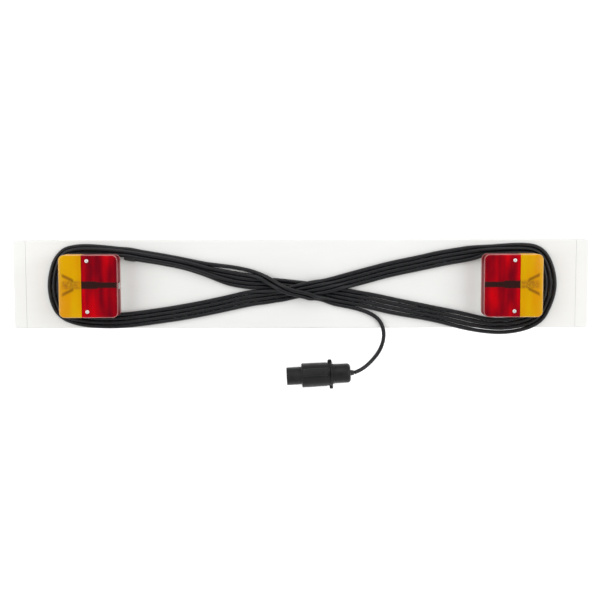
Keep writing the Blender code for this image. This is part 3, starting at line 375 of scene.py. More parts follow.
def lead_route():
    """The lead's route: out of the gland, four turns of a figure of eight, a last pass, and the tail."""
    lift = Vector((0, 0, FACE_Z + LEAD_RADIUS))
    start = gland_exit()
    along = Vector((math.cos(GLAND_TURN), math.sin(GLAND_TURN), 0.0))
    route = [start - lift, start + along * GLAND_RUN - lift]
    route += [upper_left_lanes(i)[0] for i in range(JOIN_STATION, -1, -1)]
    lane = 0
    for turn in range(TURN_COUNT + 1):
        key = next(k for k in FALLING if k[0] == lane)
        route += crossing(FALLING, key)
        if turn == TURN_COUNT:
            break
        route += reversed(right_lane(key[1]))
        key = next(k for k in RISING if k[1] == key[1])
        route += reversed(crossing(RISING, key))
        route += reversed(left_lane(key[0]))
        lane = key[0] + 1
    last = reversed(RIGHT_STATIONS[-LOWER_RIGHT_SPAN:])
    route += [lanes_at(station, TURN_COUNT + 1, 1)[TURN_COUNT] for station in last]
    return [p + lift for p in route] + [Vector(p) for p in TAIL_ROUTE]


def smooth_curve(points, steps):
    """Points on a Catmull-Rom curve through the route's own points, steps to each span."""
    line = [2 * points[0] - points[1], *points, 2 * points[-1] - points[-2]]
    result = []
    for a, b, c, d in zip(line, line[1:], line[2:], line[3:]):
        for k in range(steps):
            t = k / steps
            result.append(0.5 * (2 * b + (c - a) * t + (2 * a - 5 * b + 4 * c - d) * t ** 2
                                 + (3 * b - a - 3 * c + d) * t ** 3))
    result.append(points[-1])
    return result


def respaced(points, step):
    """Points at even spacing along a polyline."""
    points = np.asarray(points, float)
    lengths = np.concatenate([[0.0], np.cumsum(np.linalg.norm(np.diff(points, axis=0), axis=1))])
    count = max(2, round(lengths[-1] / step))
    places = np.linspace(0.0, lengths[-1], count + 1)
    return np.stack([np.interp(places, lengths, points[:, k]) for k in range(3)], 1)


def blurred(values, passes, share=0.5):
    """Values smoothed along the lead, apart from the two ends."""
    for _ in range(passes):
        middle = 0.5 * (values[:-2] + values[2:])
        values = values.copy()
        values[1:-1] += share * (middle - values[1:-1])
    return values


def near_pairs(p, reach, skip):
    """Pairs of points of the lead that are close together, but not close along it."""
    first, second = [], []
    for low in range(0, len(p), PAIR_BLOCK):
        block = p[low:low + PAIR_BLOCK]
        distance = ((block[:, None, :] - p[None, :-1, :]) ** 2).sum(2)
        i, j = np.nonzero(distance < reach * reach)
        i += low
        keep = np.abs(i - j) > skip
        first.append(i[keep])
        second.append(j[keep])
    return np.concatenate(first), np.concatenate(second)


def pushed_apart(p, i, j, distance):
    """Each point moved off the stretches of lead that it is pressed into, and those stretches off it."""
    a, b = p[j], p[j + 1]
    along = b - a
    t = (((p[i] - a) * along).sum(1) / np.maximum((along ** 2).sum(1), 1e-12)).clip(0.0, 1.0)
    offset = p[i] - (a + along * t[:, None])
    length = np.linalg.norm(offset, axis=1)
    deep = np.maximum(distance - length, 0.0)
    push = offset / np.maximum(length, 1e-9)[:, None] * deep[:, None] * 0.5
    moved = np.zeros_like(p)
    weight = np.zeros(len(p))
    touching = (deep > 0).astype(float)
    for index, value, share in ((i, push, touching), (j, -push * (1 - t)[:, None], touching * (1 - t)),
                                (j + 1, -push * t[:, None], touching * t)):
        for k in range(3):
            moved[:, k] += np.bincount(index, value[:, k], len(p))
        weight += np.bincount(index, share, len(p))
    return p + moved / np.maximum(weight, 1.0)[:, None] * PUSH_GAIN


def off_lamps(p):
    """Points moved out of the two lamp bases, and kept low under the lenses."""
    half = np.array(BASE_SIZE) / 2 - BASE_CORNER
    for centre in (-LAMP_X, LAMP_X):
        local = p[:, :2] - (centre, 0.0)
        beyond = np.abs(local) - half
        outside = np.linalg.norm(np.maximum(beyond, 0.0), axis=1)
        depth = BASE_CORNER + LEAD_RADIUS + GAP - np.where(outside > 0, outside, beyond.max(1))
        direction = np.sign(local) * np.where(outside[:, None] > 0, np.maximum(beyond, 0.0),
                                              beyond == beyond.max(1)[:, None])
        direction /= np.maximum(np.linalg.norm(direction, axis=1), 1e-9)[:, None]
        p[:, :2] += direction * np.maximum(depth, 0.0)[:, None]
        under = (np.abs(local) < UNDER_LENS).all(1)
        p[under, 2] = np.minimum(p[under, 2], FACE_Z + UNDER_LENS_TOP - LEAD_RADIUS)
    return p


def off_gland(p, skip):
    """Points moved off the gland, apart from the first few, which leave it."""
    along = np.array([math.cos(GLAND_TURN), math.sin(GLAND_TURN), 0.0])
    centre = np.array([*GLAND_PLACE, FACE_Z + GAP + GLAND_RADIUS])
    t = ((p - centre) @ along).clip(-GLAND_HALF_LENGTH + GLAND_TRIMS[0], GLAND_HALF_LENGTH - GLAND_TRIMS[1])
    offset = p - (centre + t[:, None] * along)
    length = np.linalg.norm(offset, axis=1)
    deep = np.maximum(GLAND_RADIUS + LEAD_RADIUS + REST_CLEARANCE - length, 0.0)
    deep[:skip] = 0.0
    return p + offset / length[:, None] * deep[:, None]


def settle(points):
    """The lead laid down: its strands rest on the board and on one another and keep a diameter apart."""
    target = respaced(blurred(np.array([tuple(p) for p in points]), ROUTE_BLURS[0]), LEAD_STEP)
    target = blurred(target, ROUTE_BLURS[1])
    p = target.copy()
    distance = 2 * LEAD_RADIUS + STRAND_CLEARANCE
    floor = FACE_Z + LEAD_RADIUS + REST_CLEARANCE
    tail = len(p) - round(TAIL_LENGTH / LEAD_STEP)
    for step in range(SETTLE_ROUNDS):
        if step % PAIR_ROUNDS == 0:
            i, j = near_pairs(p, PAIR_REACH, PAIR_SKIP)
        last = step > SETTLE_ROUNDS - LAST_ROUNDS
        p[:, 2] -= 0.0 if last else SINK
        p = pushed_apart(p, i, j, distance)
        p = off_gland(p, GLAND_POINTS)
        p = off_lamps(p)
        drift = p - target
        drift[:tail] = blurred(drift[:tail], 1, DRIFT_BLURS[last])
        drift[:, :2] *= 1.0 if last else DRIFT_KEPT
        p = target + drift
        p[:tail, 2] = np.maximum(p[:tail, 2], floor)
        p[0], p[1] = target[0], target[1]
        p[tail:] = target[tail:]
    return p


def make_tube(name, points, radius, material, roundness=2):
    """A round cord or wire with closed ends, as a curve."""
    curve = bpy.data.curves.new(name, "CURVE")
    curve.dimensions = "3D"
    curve.bevel_depth = radius
    curve.bevel_resolution = roundness
    curve.use_fill_caps = True
    spline = curve.splines.new("POLY")
    spline.points.add(len(points) - 1)
    for spline_point, point in zip(spline.points, points):
        spline_point.co = (*point, 1.0)
    curve.materials.append(material)
    tube = bpy.data.objects.new(name, curve)
    bpy.context.scene.collection.objects.link(tube)
    return tube


def make_lead(material):
    points = settle(smooth_curve(lead_route(), ROUTE_STEPS))
    lead = make_tube("lead", points, LEAD_RADIUS, material, roundness=4)
    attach(lead, "board")
    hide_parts("cable_winding", "cable_tail")
    return lead


# Mesh tools

def shade(mesh, material, sharp=SHARP_ANGLE):
    """Smooth shading in one material, with edges sharper than this angle kept."""
    mesh.materials.clear()
    mesh.materials.append(material)
    mesh.shade_smooth()
    mesh.set_sharp_from_angle(angle=math.radians(sharp))


def mesh_object(name, bm, material, matrix, sharp=SHARP_ANGLE):
    """An object at the origin from the solids in bm, placed by matrix."""
    bmesh.ops.transform(bm, matrix=matrix, verts=bm.verts)
    bmesh.ops.recalc_face_normals(bm, faces=bm.faces)
    mesh = bpy.data.meshes.new(name)
    bm.to_mesh(mesh)
    bm.free()
    shade(mesh, material, sharp)
    obj = bpy.data.objects.new(name, mesh)
    bpy.context.scene.collection.objects.link(obj)
    return obj


def carve(obj, operation, bm, matrix):
    """Join the solids in bm to obj, or cut them out of it."""
    material = obj.data.materials[0]
    tool = mesh_object("tool", bm, material, matrix)
    modifier = obj.modifiers.new("carve", "BOOLEAN")
    modifier.operation = operation
    modifier.solver = "EXACT"
    modifier.object = tool
    bpy.context.view_layer.update()
    mesh = bpy.data.meshes.new_from_object(obj.evaluated_get(bpy.context.evaluated_depsgraph_get()))
    obj.modifiers.clear()
    spare = [obj.data, tool.data]
    obj.data = mesh
    bpy.data.objects.remove(tool)
    for old in spare:
        bpy.data.meshes.remove(old)
    shade(mesh, material)


def add_loft(bm, loops, ring=False):
    """Join loops of points with quads, and close the ends with faces, or the last loop to the first one."""
    rows = [[bm.verts.new(point) for point in loop] for loop in loops]
    pairs = list(zip(rows, rows[1:]))
    if ring:
        pairs.append((rows[-1], rows[0]))
    for low, high in pairs:
        for i, corner in enumerate(low):
            j = (i + 1) % len(low)
            bm.faces.new((corner, low[j], high[j], high[i]))
    if not ring:
        bm.faces.new(rows[0])
        bm.faces.new(rows[-1])


def add_turned(bm, stations, steps, centre=(0.0, 0.0), axis="X", ring=False):
    """A turned solid from (distance along the axis, radius) stations."""
    loops = []
    for along, radius in stations:
        loop = []
        for i in range(steps):
            angle = math.tau * i / steps
            a = centre[0] + radius * math.cos(angle)
            b = centre[1] + radius * math.sin(angle)
            loop.append((a, b, along) if axis == "Z" else (along, a, b))
        loops.append(loop)
    add_loft(bm, loops, ring)


def arc_points(centre, radius, start, stop, steps):
    """Points along an arc, with its two angles in degrees."""
    points = []
    for i in range(steps + 1):
        angle = math.radians(start + (stop - start) * i / steps)
        points.append((centre[0] + radius * math.cos(angle), centre[1] + radius * math.sin(angle)))
    return points


def box_loops(x, y, z):
    return [[(x[0], y[0], h), (x[1], y[0], h), (x[1], y[1], h), (x[0], y[1], h)] for h in z]


# Lamps

def lamp_matrix(side):
    turn = 0.0 if side == "left" else math.pi
    return Matrix.Translation((-LAMP_X * math.cos(turn), 0.0, FACE_Z)) @ Matrix.Rotation(turn, 4, "Z")


def lens_outline(amber, inset):
    """One colour's outline with its two outer corners rounded."""
    half = LENS_LENGTH / 2
    width = LENS_WIDTH / 2 - inset
    radius = LENS_CORNER - inset
    sign = -1.0 if amber else 1.0
    joint = COLOUR_JOINT_X + sign * GAP / 2
    far = sign * (half - inset)
    centre = far - sign * radius
    corners = arc_points((centre, width - radius), radius, 0, 90, 8)
    points = [(centre + sign * (x - centre), y) for x, y in corners]
    points += [(joint, width), (joint, -width)]
    points += [(centre + sign * (x - centre), -y) for x, y in reversed(corners)]
    return points


def build_lens(side, colour, material):
    """One colour of a lens: a shell with a smooth outside, and flutes moulded on the inside of its front."""
    amber = colour == "amber"
    matrix = lamp_matrix(side)
    loops = [[(x, y, LENS_BOTTOM) for x, y in lens_outline(amber, 0.0)]]
    for x, z in arc_points((LENS_EDGE, LENS_FRONT - LENS_EDGE), LENS_EDGE, 180, 90, 6):
        loops.append([(a, b, z) for a, b in lens_outline(amber, x)])
    bm = bmesh.new()
    add_loft(bm, loops)
    lens = mesh_object(f"{side}_{colour}_lens_moulding", bm, material, matrix)
    carve(lens, "DIFFERENCE", fluted_hollow(amber), matrix)
    if not amber:
        carve(lens, "DIFFERENCE", screw_wells(), matrix)
        if side == "left":
            carve(lens, "DIFFERENCE", window_opening(), matrix)
    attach(lens, f"{side}_lens")
    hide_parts(f"{side}_{colour}_lens")


def fluted_hollow(amber):
    half = LENS_LENGTH / 2 - LENS_WALL
    x0, x1 = (-half, COLOUR_JOINT_X + CUT_PAST) if amber else (COLOUR_JOINT_X - CUT_PAST, half)
    ceiling = LENS_FRONT - LENS_WALL
    steps = round((x1 - x0) / FLUTE_PITCH * FLUTE_STEPS)
    profile = [(x0, LENS_BOTTOM - CUT_PAST)]
    for i in range(steps + 1):
        x = x0 + (x1 - x0) * i / steps
        profile.append((x, ceiling - FLUTE_DEPTH * abs(math.sin(math.pi * (x - x0) / FLUTE_PITCH))))
    profile.append((x1, LENS_BOTTOM - CUT_PAST))
    depth = LENS_WIDTH / 2 - LENS_WALL
    bm = bmesh.new()
    add_loft(bm, [[(x, y, z) for x, z in profile] for y in (-depth, depth)])
    return bm


def screw_wells():
    bm = bmesh.new()
    ceiling = LENS_FRONT - LENS_WALL
    floor = LENS_FRONT - COUNTERBORE
    stations = [(ceiling - 2 * CUT_PAST, PILOT_RADIUS), (floor, PILOT_RADIUS), (floor, COUNTERBORE_RADIUS),
                (LENS_FRONT + CUT_PAST, COUNTERBORE_RADIUS)]
    for sign in (-1, 1):
        add_turned(bm, stations, 32, (PILLAR_X, sign * PILLAR_Y), axis="Z")
    return bm


def window_opening():
    bm = bmesh.new()
    wall = LENS_LENGTH / 2
    span = (wall - LENS_WALL - CUT_PAST, wall + CUT_PAST)
    add_loft(bm, box_loops(span, (-WINDOW_HALF, WINDOW_HALF), WINDOW_Z))
    return bm


def build_bulb(side, use, glass, metal, bead):
    """A bulb's blown glass envelope with its filament, the filament's supports and their glass bead."""
    body = f"{side}_{use}_bulb"
    turn = 0.0 if use == "stop" else math.pi
    matrix = lamp_matrix(side) @ Matrix.Translation((BULB_STARTS[use], 0.0, BULB_Z))
    matrix = matrix @ Matrix.Rotation(turn, 4, "Z")
    dome = GLASS_TIP - GLASS_RADIUS
    outside = [(GLASS_NECK + x, r) for x, r in NECK_PROFILE]
    outside += arc_points((dome, 0.0), GLASS_RADIUS, 90, 2, 12)
    inside = [(x - GLASS_WALL * max(0.0, (x - dome) / GLASS_RADIUS), max(r - GLASS_WALL, GLASS_LEAST_RADIUS))
              for x, r in reversed(outside)]
    bm = bmesh.new()
    add_turned(bm, outside + inside, 40, ring=True)
    envelope = mesh_object(f"{body}_envelope", bm, glass, matrix, GLASS_SHARP_ANGLE)
    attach(envelope, body)
    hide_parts(f"{body}_glass")

    coil = []
    for i in range(COIL_TURNS * COIL_STEPS + 1):
        angle = math.tau * i / COIL_STEPS
        y = -COIL_LENGTH / 2 + COIL_LENGTH * i / (COIL_TURNS * COIL_STEPS)
        x = GLASS_NECK + COIL_PLACE + COIL_RADIUS * math.cos(angle)
        coil.append(matrix @ Vector((x, y, COIL_RADIUS * math.sin(angle))))
    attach(make_tube(f"{body}_filament", coil, FILAMENT_RADIUS, metal), body)
    for sign, label in ((-1, "a"), (1, "b")):
        points = smooth_curve([matrix @ Vector((GLASS_NECK + x, sign * y, 0.0)) for x, y in SUPPORT_ROUTE], 6)
        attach(make_tube(f"{body}_support_{label}", points, SUPPORT_RADIUS, metal), body)
    bm = bmesh.new()
    ball = arc_points((0.0, 0.0), BEAD_RADIUS, 176, 4, 10)
    add_turned(bm, [(GLASS_NECK + BEAD_PLACE + x, r) for x, r in ball], 20)
    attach(mesh_object(f"{body}_bead", bm, bead, matrix, GLASS_SHARP_ANGLE), body)


# Plug

def plug_matrix():
    return Matrix.Translation(PLUG_REAR) @ Matrix.Rotation(PLUG_TURN, 4, "Z")


def key_block(step):
    """The rib along the body that keys the plug in its socket."""
    half = KEY_WIDTH / 2
    low = BODY_RADII[0] - KEY_ROOT
    outline = [(-half, low), (half, low)]
    outline += arc_points((half - KEY_EDGE, KEY_REACH - KEY_EDGE), KEY_EDGE, 0, 90, 5)
    outline += arc_points((-half + KEY_EDGE, KEY_REACH - KEY_EDGE), KEY_EDGE, 90, 180, 5)
    turn = Matrix.Rotation(KEY_TURN, 3, "X")
    rear, front = BODY_REAR + KEY_ENDS[0], step - KEY_ENDS[1]
    loops = []
    ends = ((rear, KEY_SHRINK), (rear + KEY_TAPER, 1.0), (front - KEY_TAPER, 1.0), (front, KEY_SHRINK))
    for x, scale in ends:
        loops.append([turn @ Vector((x, -low - (b - low) * scale, a * scale)) for a, b in outline])
    bm = bmesh.new()
    add_loft(bm, loops)
    return bm


def build_plug_body(material):
    """The plug's front half with its shroud and key."""
    front, step = PLUG_LENGTH, PLUG_LENGTH - SHROUD_LENGTH
    shoulder = step - SHOULDER_DEPTH
    low, high = BODY_RADII
    stations = [(BODY_REAR + x, low + r) for x, r in REAR_STEPS]
    stations += arc_points((step - BODY_EDGE, high - BODY_EDGE), BODY_EDGE, 90, 0, 6)
    stations += [(step + x, SHROUD_RADIUS + r) for x, r in SHROUD_FOOT]
    stations += arc_points((front - RIM_EDGE, SHROUD_RADIUS - RIM_EDGE), RIM_EDGE, 90, 0, 4)
    stations += arc_points((front - RIM_EDGE, SHROUD_BORE + RIM_EDGE), RIM_EDGE, 0, -90, 4)
    stations += [(shoulder, SHROUD_BORE), (shoulder, BODY_BORE), (BODY_REAR, BODY_BORE)]
    bm = bmesh.new()
    add_turned(bm, stations, 96, ring=True)
    body = mesh_object("plug_body_moulding", bm, material, plug_matrix())
    carve(body, "UNION", key_block(step), plug_matrix())
    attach(body, "board")
    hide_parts("plug_body")
    return body


def build_plug_cap(material):
    """The plug's rear half with its ring and two lugs."""
    ring_front = BODY_REAR - GAP
    ring_rear = ring_front - RING_THICKNESS
    spigot = BODY_BORE - GAP
    mouth = REAR_START + REAR_WALL
    stations = arc_points((REAR_START + REAR_BEND, REAR_RADIUS - REAR_BEND), REAR_BEND, 180, 90, 10)
    stations += [(ring_rear + x, REAR_RADIUS + r) for x, r in RING_FOOT]
    stations += [(ring_rear, RING_RADIUS - RING_BEVEL), (ring_rear + RING_BEVEL, RING_RADIUS),
                 (ring_front - RING_BEVEL, RING_RADIUS), (ring_front, RING_RADIUS - RING_BEVEL),
                 (ring_front, spigot), (ring_front + SPIGOT_LENGTH, spigot),
                 (ring_front + SPIGOT_LENGTH, REAR_BORE),
                 (mouth, REAR_BORE), (mouth, BOOT_BORE), (REAR_START, BOOT_BORE)]
    bm = bmesh.new()
    add_turned(bm, stations, 96, ring=True)
    cap = mesh_object("plug_rear_cap_moulding", bm, material, plug_matrix())
    half = LUG_WIDTH / 2
    flat = half - LUG_BEVEL[0]
    for sign, reach, corner in LUGS:
        rear, front = ring_rear + LUG_INSET, ring_front + reach
        tip = LUG_REACH - corner
        lug = [(rear, LUG_ROOT)] + arc_points((rear + corner, tip), corner, 180, 90, 6)
        lug += arc_points((front - corner, tip), corner, 90, 0, 6) + [(front, LUG_ROOT)]
        layers = ((-half, LUG_BEVEL[1]), (-flat, 0.0), (flat, 0.0), (half, LUG_BEVEL[1]))
        bm = bmesh.new()
        add_loft(bm, [[(x, sign * (y - trim), z) for x, y in lug] for z, trim in layers])
        carve(cap, "UNION", bm, plug_matrix())
    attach(cap, "plug_rear_cap")
    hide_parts("plug_rear_cap")
    return cap


# Materials

def new_material(name):
    """A material with its node tree and its shader."""
    material = bpy.data.materials.new(name)
    material.use_nodes = True
    return material, material.node_tree, material.node_tree.nodes["Principled BSDF"]


def noise(tree, scale, detail=4.0, stretch=(1.0, 1.0, 1.0), roughness=0.55, turn=0.0):
    """A noise pattern fixed to the object, scale in features per metre."""
    place = tree.nodes.new("ShaderNodeTexCoord")
    mapping = tree.nodes.new("ShaderNodeMapping")
    mapping.vector_type = "TEXTURE"
    mapping.inputs["Rotation"].default_value = (0.0, 0.0, turn)
    mapping.inputs["Scale"].default_value = tuple(1.0 / s for s in stretch)
    texture = tree.nodes.new("ShaderNodeTexNoise")
    texture.inputs["Scale"].default_value = scale
    texture.inputs["Detail"].default_value = detail
    texture.inputs["Roughness"].default_value = roughness
    tree.links.new(place.outputs["Object"], mapping.inputs["Vector"])
    tree.links.new(mapping.outputs["Vector"], texture.inputs["Vector"])
    return texture.outputs["Fac"]


def ramp(tree, value, stops):
    """A colour from a value, by (place, colour) stops."""
    node = tree.nodes.new("ShaderNodeValToRGB")
    elements = node.color_ramp.elements
    while len(elements) < len(stops):
        elements.new(0.5)
    for element, (place, colour) in zip(elements, stops):
        element.position = place
        element.color = (*colour, 1.0)
    tree.links.new(value, node.inputs["Fac"])
    return node.outputs["Color"]


def remap(tree, value, low, high, start=0.35, stop=0.65):
    """A value that goes from low to high as the given one goes from start to stop."""
    node = tree.nodes.new("ShaderNodeMapRange")
    node.inputs["From Min"].default_value = start
    node.inputs["From Max"].default_value = stop
    node.inputs["To Min"].default_value = low
    node.inputs["To Max"].default_value = high
    tree.links.new(value, node.inputs["Value"])
    return node.outputs["Result"]


def blend(tree, factor, first, second):
    """A colour that goes from the first one to the second one."""
    node = tree.nodes.new("ShaderNodeMix")
    node.data_type = "RGBA"
    for socket, value in ((node.inputs["Factor"], factor), (node.inputs[6], first), (node.inputs[7], second)):
        if isinstance(value, tuple):
            socket.default_value = (*value, 1.0)
        elif isinstance(value, float):
            socket.default_value = value
        else:
            tree.links.new(value, socket)
    return node.outputs[2]


def object_axes(tree):
    """The place on the object, as separate X, Y and Z."""
    place = tree.nodes.new("ShaderNodeTexCoord")
    split = tree.nodes.new("ShaderNodeSeparateXYZ")
    tree.links.new(place.outputs["Object"], split.inputs["Vector"])
    return split.outputs


def height_band(tree, stops):
    """A value that follows the height in the object's own frame, from (height in metres, value) stops."""
    heights = [h for h, _ in stops]
    low, high = min(heights), max(heights)
    share = remap(tree, object_axes(tree)["Z"], 0.0, 1.0, low, high)
    return ramp(tree, share, [((h - low) / (high - low), (v, v, v)) for h, v in stops])


def bump(tree, shader, layers):
    """Surface relief from (value, height in metres) layers."""
    previous = None
    for value, height in layers:
        node = tree.nodes.new("ShaderNodeBump")
        node.inputs["Strength"].default_value = 1.0
        node.inputs["Distance"].default_value = height
        tree.links.new(value, node.inputs["Height"])
        if previous is not None:
            tree.links.new(previous, node.inputs["Normal"])
        previous = node.outputs["Normal"]
    tree.links.new(previous, shader.inputs["Normal"])


def moulded_relief(tree, shader):
    """The slight waviness and fine texture of a moulding."""
    bump(tree, shader, ((noise(tree, 45.0, 2.0), 0.00006), (noise(tree, 900.0, 2.0), 0.000006)))


def surface(name, dark, light, rough, metallic=0.0, colour_scale=60.0, grain_scale=2500.0,
            grain_height=0.00003, stretch=(1.0, 1.0, 1.0), wave_scale=25.0, wave_height=0.0001,
            rough_scale=120.0, specular=0.5):
    """An opaque finish: mottled colour, uneven gloss, fine grain and a slight waviness."""
    material, tree, shader = new_material(name)
    shader.inputs["Metallic"].default_value = metallic
    shader.inputs["Specular IOR Level"].default_value = specular
    mottle = noise(tree, colour_scale, 5.0, stretch)
    tree.links.new(ramp(tree, mottle, ((0.32, dark), (0.68, light))), shader.inputs["Base Color"])
    tree.links.new(remap(tree, noise(tree, rough_scale, 4.0, stretch), *rough), shader.inputs["Roughness"])
    bump(tree, shader, ((noise(tree, wave_scale, 2.0), wave_height),
                        (noise(tree, grain_scale, 2.0, stretch), grain_height)))
    return material


def clear_plastic(name, colour, rough, ior, transmission):
    """A see-through moulding with faint moulding marks."""
    material, tree, shader = new_material(name)
    shader.inputs["Transmission Weight"].default_value = transmission
    shader.inputs["IOR"].default_value = ior
    low = tuple(c * 0.93 for c in colour)
    tint = ramp(tree, noise(tree, 90.0, 3.0), ((0.35, low), (0.65, colour)))
    tree.links.new(tint, shader.inputs["Base Color"])
    tree.links.new(remap(tree, noise(tree, 160.0, 4.0), *rough), shader.inputs["Roughness"])
    moulded_relief(tree, shader)
    return material


def math_node(tree, operation, *values):
    node = tree.nodes.new("ShaderNodeMath")
    node.operation = operation
    for socket, value in zip(node.inputs, values):
        if isinstance(value, float):
            socket.default_value = value
        else:
            tree.links.new(value, socket)
    return node.outputs["Value"]


def multiply(tree, first, second):
    return math_node(tree, "MULTIPLY", first, second)


def subtract(tree, first, second):
    return math_node(tree, "SUBTRACT", first, second)


def size_of(tree, value):
    return math_node(tree, "ABSOLUTE", value)


def painted_shade_place(tree):
    """Distances from the board's middle and from the painted shades' middle line."""
    axes = object_axes(tree)
    return size_of(tree, axes["X"]), size_of(tree, subtract(tree, axes["Y"], PAINTED_SHADE_SHIFT))


def strip_painted_shade_mask(tree):
    """Where painted shade darkens the red lens for the dark strip that shows through it: wide beside the
    colour joint, then narrow.
    """
    along, across = painted_shade_place(tree)
    half = remap(tree, along, *reversed(STRIP_HALVES), *STRIP_STEP_X)
    return remap(tree, subtract(tree, half, across), 0.0, 1.0, *STRIP_FADE)


def span_mask(tree, along, span, soft):
    """One between the two ends of the span, and nothing beyond them."""
    enter = remap(tree, along, 0.0, 1.0, span[0], span[0] + soft)
    return multiply(tree, enter, remap(tree, along, 1.0, 0.0, span[1] - soft, span[1]))


def bulb_painted_shadow_mask(tree):
    """Where the bulb's painted shadow darkens the amber lens, unevenly."""
    along, across = painted_shade_place(tree)
    inside = remap(tree, subtract(tree, BULB_SHADOW_HALF, across), 0.0, 0.8, *BULB_FADE)
    uneven = remap(tree, noise(tree, 260.0, 2.0), 0.35, 1.0)
    ends = span_mask(tree, along, BULB_SHADOW_X, BULB_END_FADE)
    return multiply(tree, multiply(tree, inside, ends), uneven)


def rib_painted_shadow_mask(tree):
    """Where the painted shadows of the two ribs beside the bulb darken the amber lens, as a V."""
    along, across = painted_shade_place(tree)
    line = math_node(tree, "MULTIPLY_ADD", along, RIB_SLOPE, RIB_OFFSET)
    off = size_of(tree, subtract(tree, across, line))
    stripe = remap(tree, off, 0.85, 0.0, 0.4 * RIB_HALF, 1.6 * RIB_HALF)
    return multiply(tree, stripe, span_mask(tree, along, RIB_SHADOW_X, RIB_END_FADE))


def outline_mask(tree):
    """One near the lens's outline, where its painted edge highlight lies, and nothing round the screws."""
    axes = object_axes(tree)
    along = subtract(tree, size_of(tree, axes["X"]), LAMP_X)
    past_end = subtract(tree, size_of(tree, along), LENS_LENGTH / 2 - RIM_INSET)
    past_side = subtract(tree, size_of(tree, axes["Y"]), LENS_WIDTH / 2 - RIM_INSET)
    return remap(tree, math_node(tree, "MAXIMUM", past_end, past_side), 0.0, 1.0, 0.0, RIM_FADE)


def streaks(tree):
    """Painted light and dark streaks, standing in for what the flutes inside a lens's front give by
    refraction.
    """
    straight = ramp(tree, noise(tree, 75.0, 1.0, (1.0, 0.10, 0.2)), GREY_STEPS)
    slanted = [ramp(tree, noise(tree, 34.0, 1.0, (1.0, 0.25, 0.2), turn=turn), GREY_STEPS)
               for turn in (0.45, -0.45)]
    return blend(tree, 0.6, straight, blend(tree, 0.5, *slanted))


def lens_plastic(name, colours, edge, wall, marks):
    """A coloured moulding: a streaked front with painted light and shade, frosted side walls in a darker
    painted shade, a painted highlight on the rounded edge, and a paler foot.
    """
    material, tree, shader = new_material(name)
    shader.inputs["Transmission Weight"].default_value = LENS_TRANSMISSION
    shader.inputs["IOR"].default_value = LENS_IOR
    shader.inputs["Specular IOR Level"].default_value = LENS_SPECULAR
    # painted light and dark streaks across the front
    front = ramp(tree, streaks(tree), tuple(zip((0.34, 0.56, 0.76), colours)))
    # painted shade for the dark strip, the bulb and the ribs, blended into the front's colour
    for mask, tint in marks:
        front = blend(tree, mask(tree), front, tint)
    # painted highlight along the lens's rounded front edge
    painted_rim_highlight = multiply(tree, height_band(tree, RIM_STOPS), outline_mask(tree))
    # the side walls take the darker wall colour as painted shade, with a paler foot
    side = height_band(tree, WALL_STOPS)
    foot = height_band(tree, FOOT_STOPS)
    colour = blend(tree, painted_rim_highlight, blend(tree, side, front, blend(tree, foot, wall, edge)), edge)
    tree.links.new(colour, shader.inputs["Base Color"])
    gloss = remap(tree, noise(tree, 160.0, 4.0), 0.06, 0.13)
    tree.links.new(blend(tree, side, gloss, (WALL_ROUGHNESS,) * 3), shader.inputs["Roughness"])
    moulded_relief(tree, shader)
    return material


def board_plastic():
    """White plastic with painted shade below its face, round the rounded edges."""
    material = surface("board_white_plastic", (0.80, 0.805, 0.785), (0.84, 0.845, 0.825), (0.38, 0.52),
                       colour_scale=14.0, stretch=(0.25, 1.0, 1.0), grain_scale=1800.0)
    tree = material.node_tree
    base_colour = tree.nodes["Principled BSDF"].inputs["Base Color"]
    plain = base_colour.links[0].from_socket
    # painted shade on the rounded edges below the face
    below = height_band(tree, ((BOARD_EDGE[0], 1.0), (BOARD_EDGE[1], 0.0)))
    tree.links.new(blend(tree, below, plain, BOARD_EDGE_PAINTED_SHADE), base_colour)
    return material


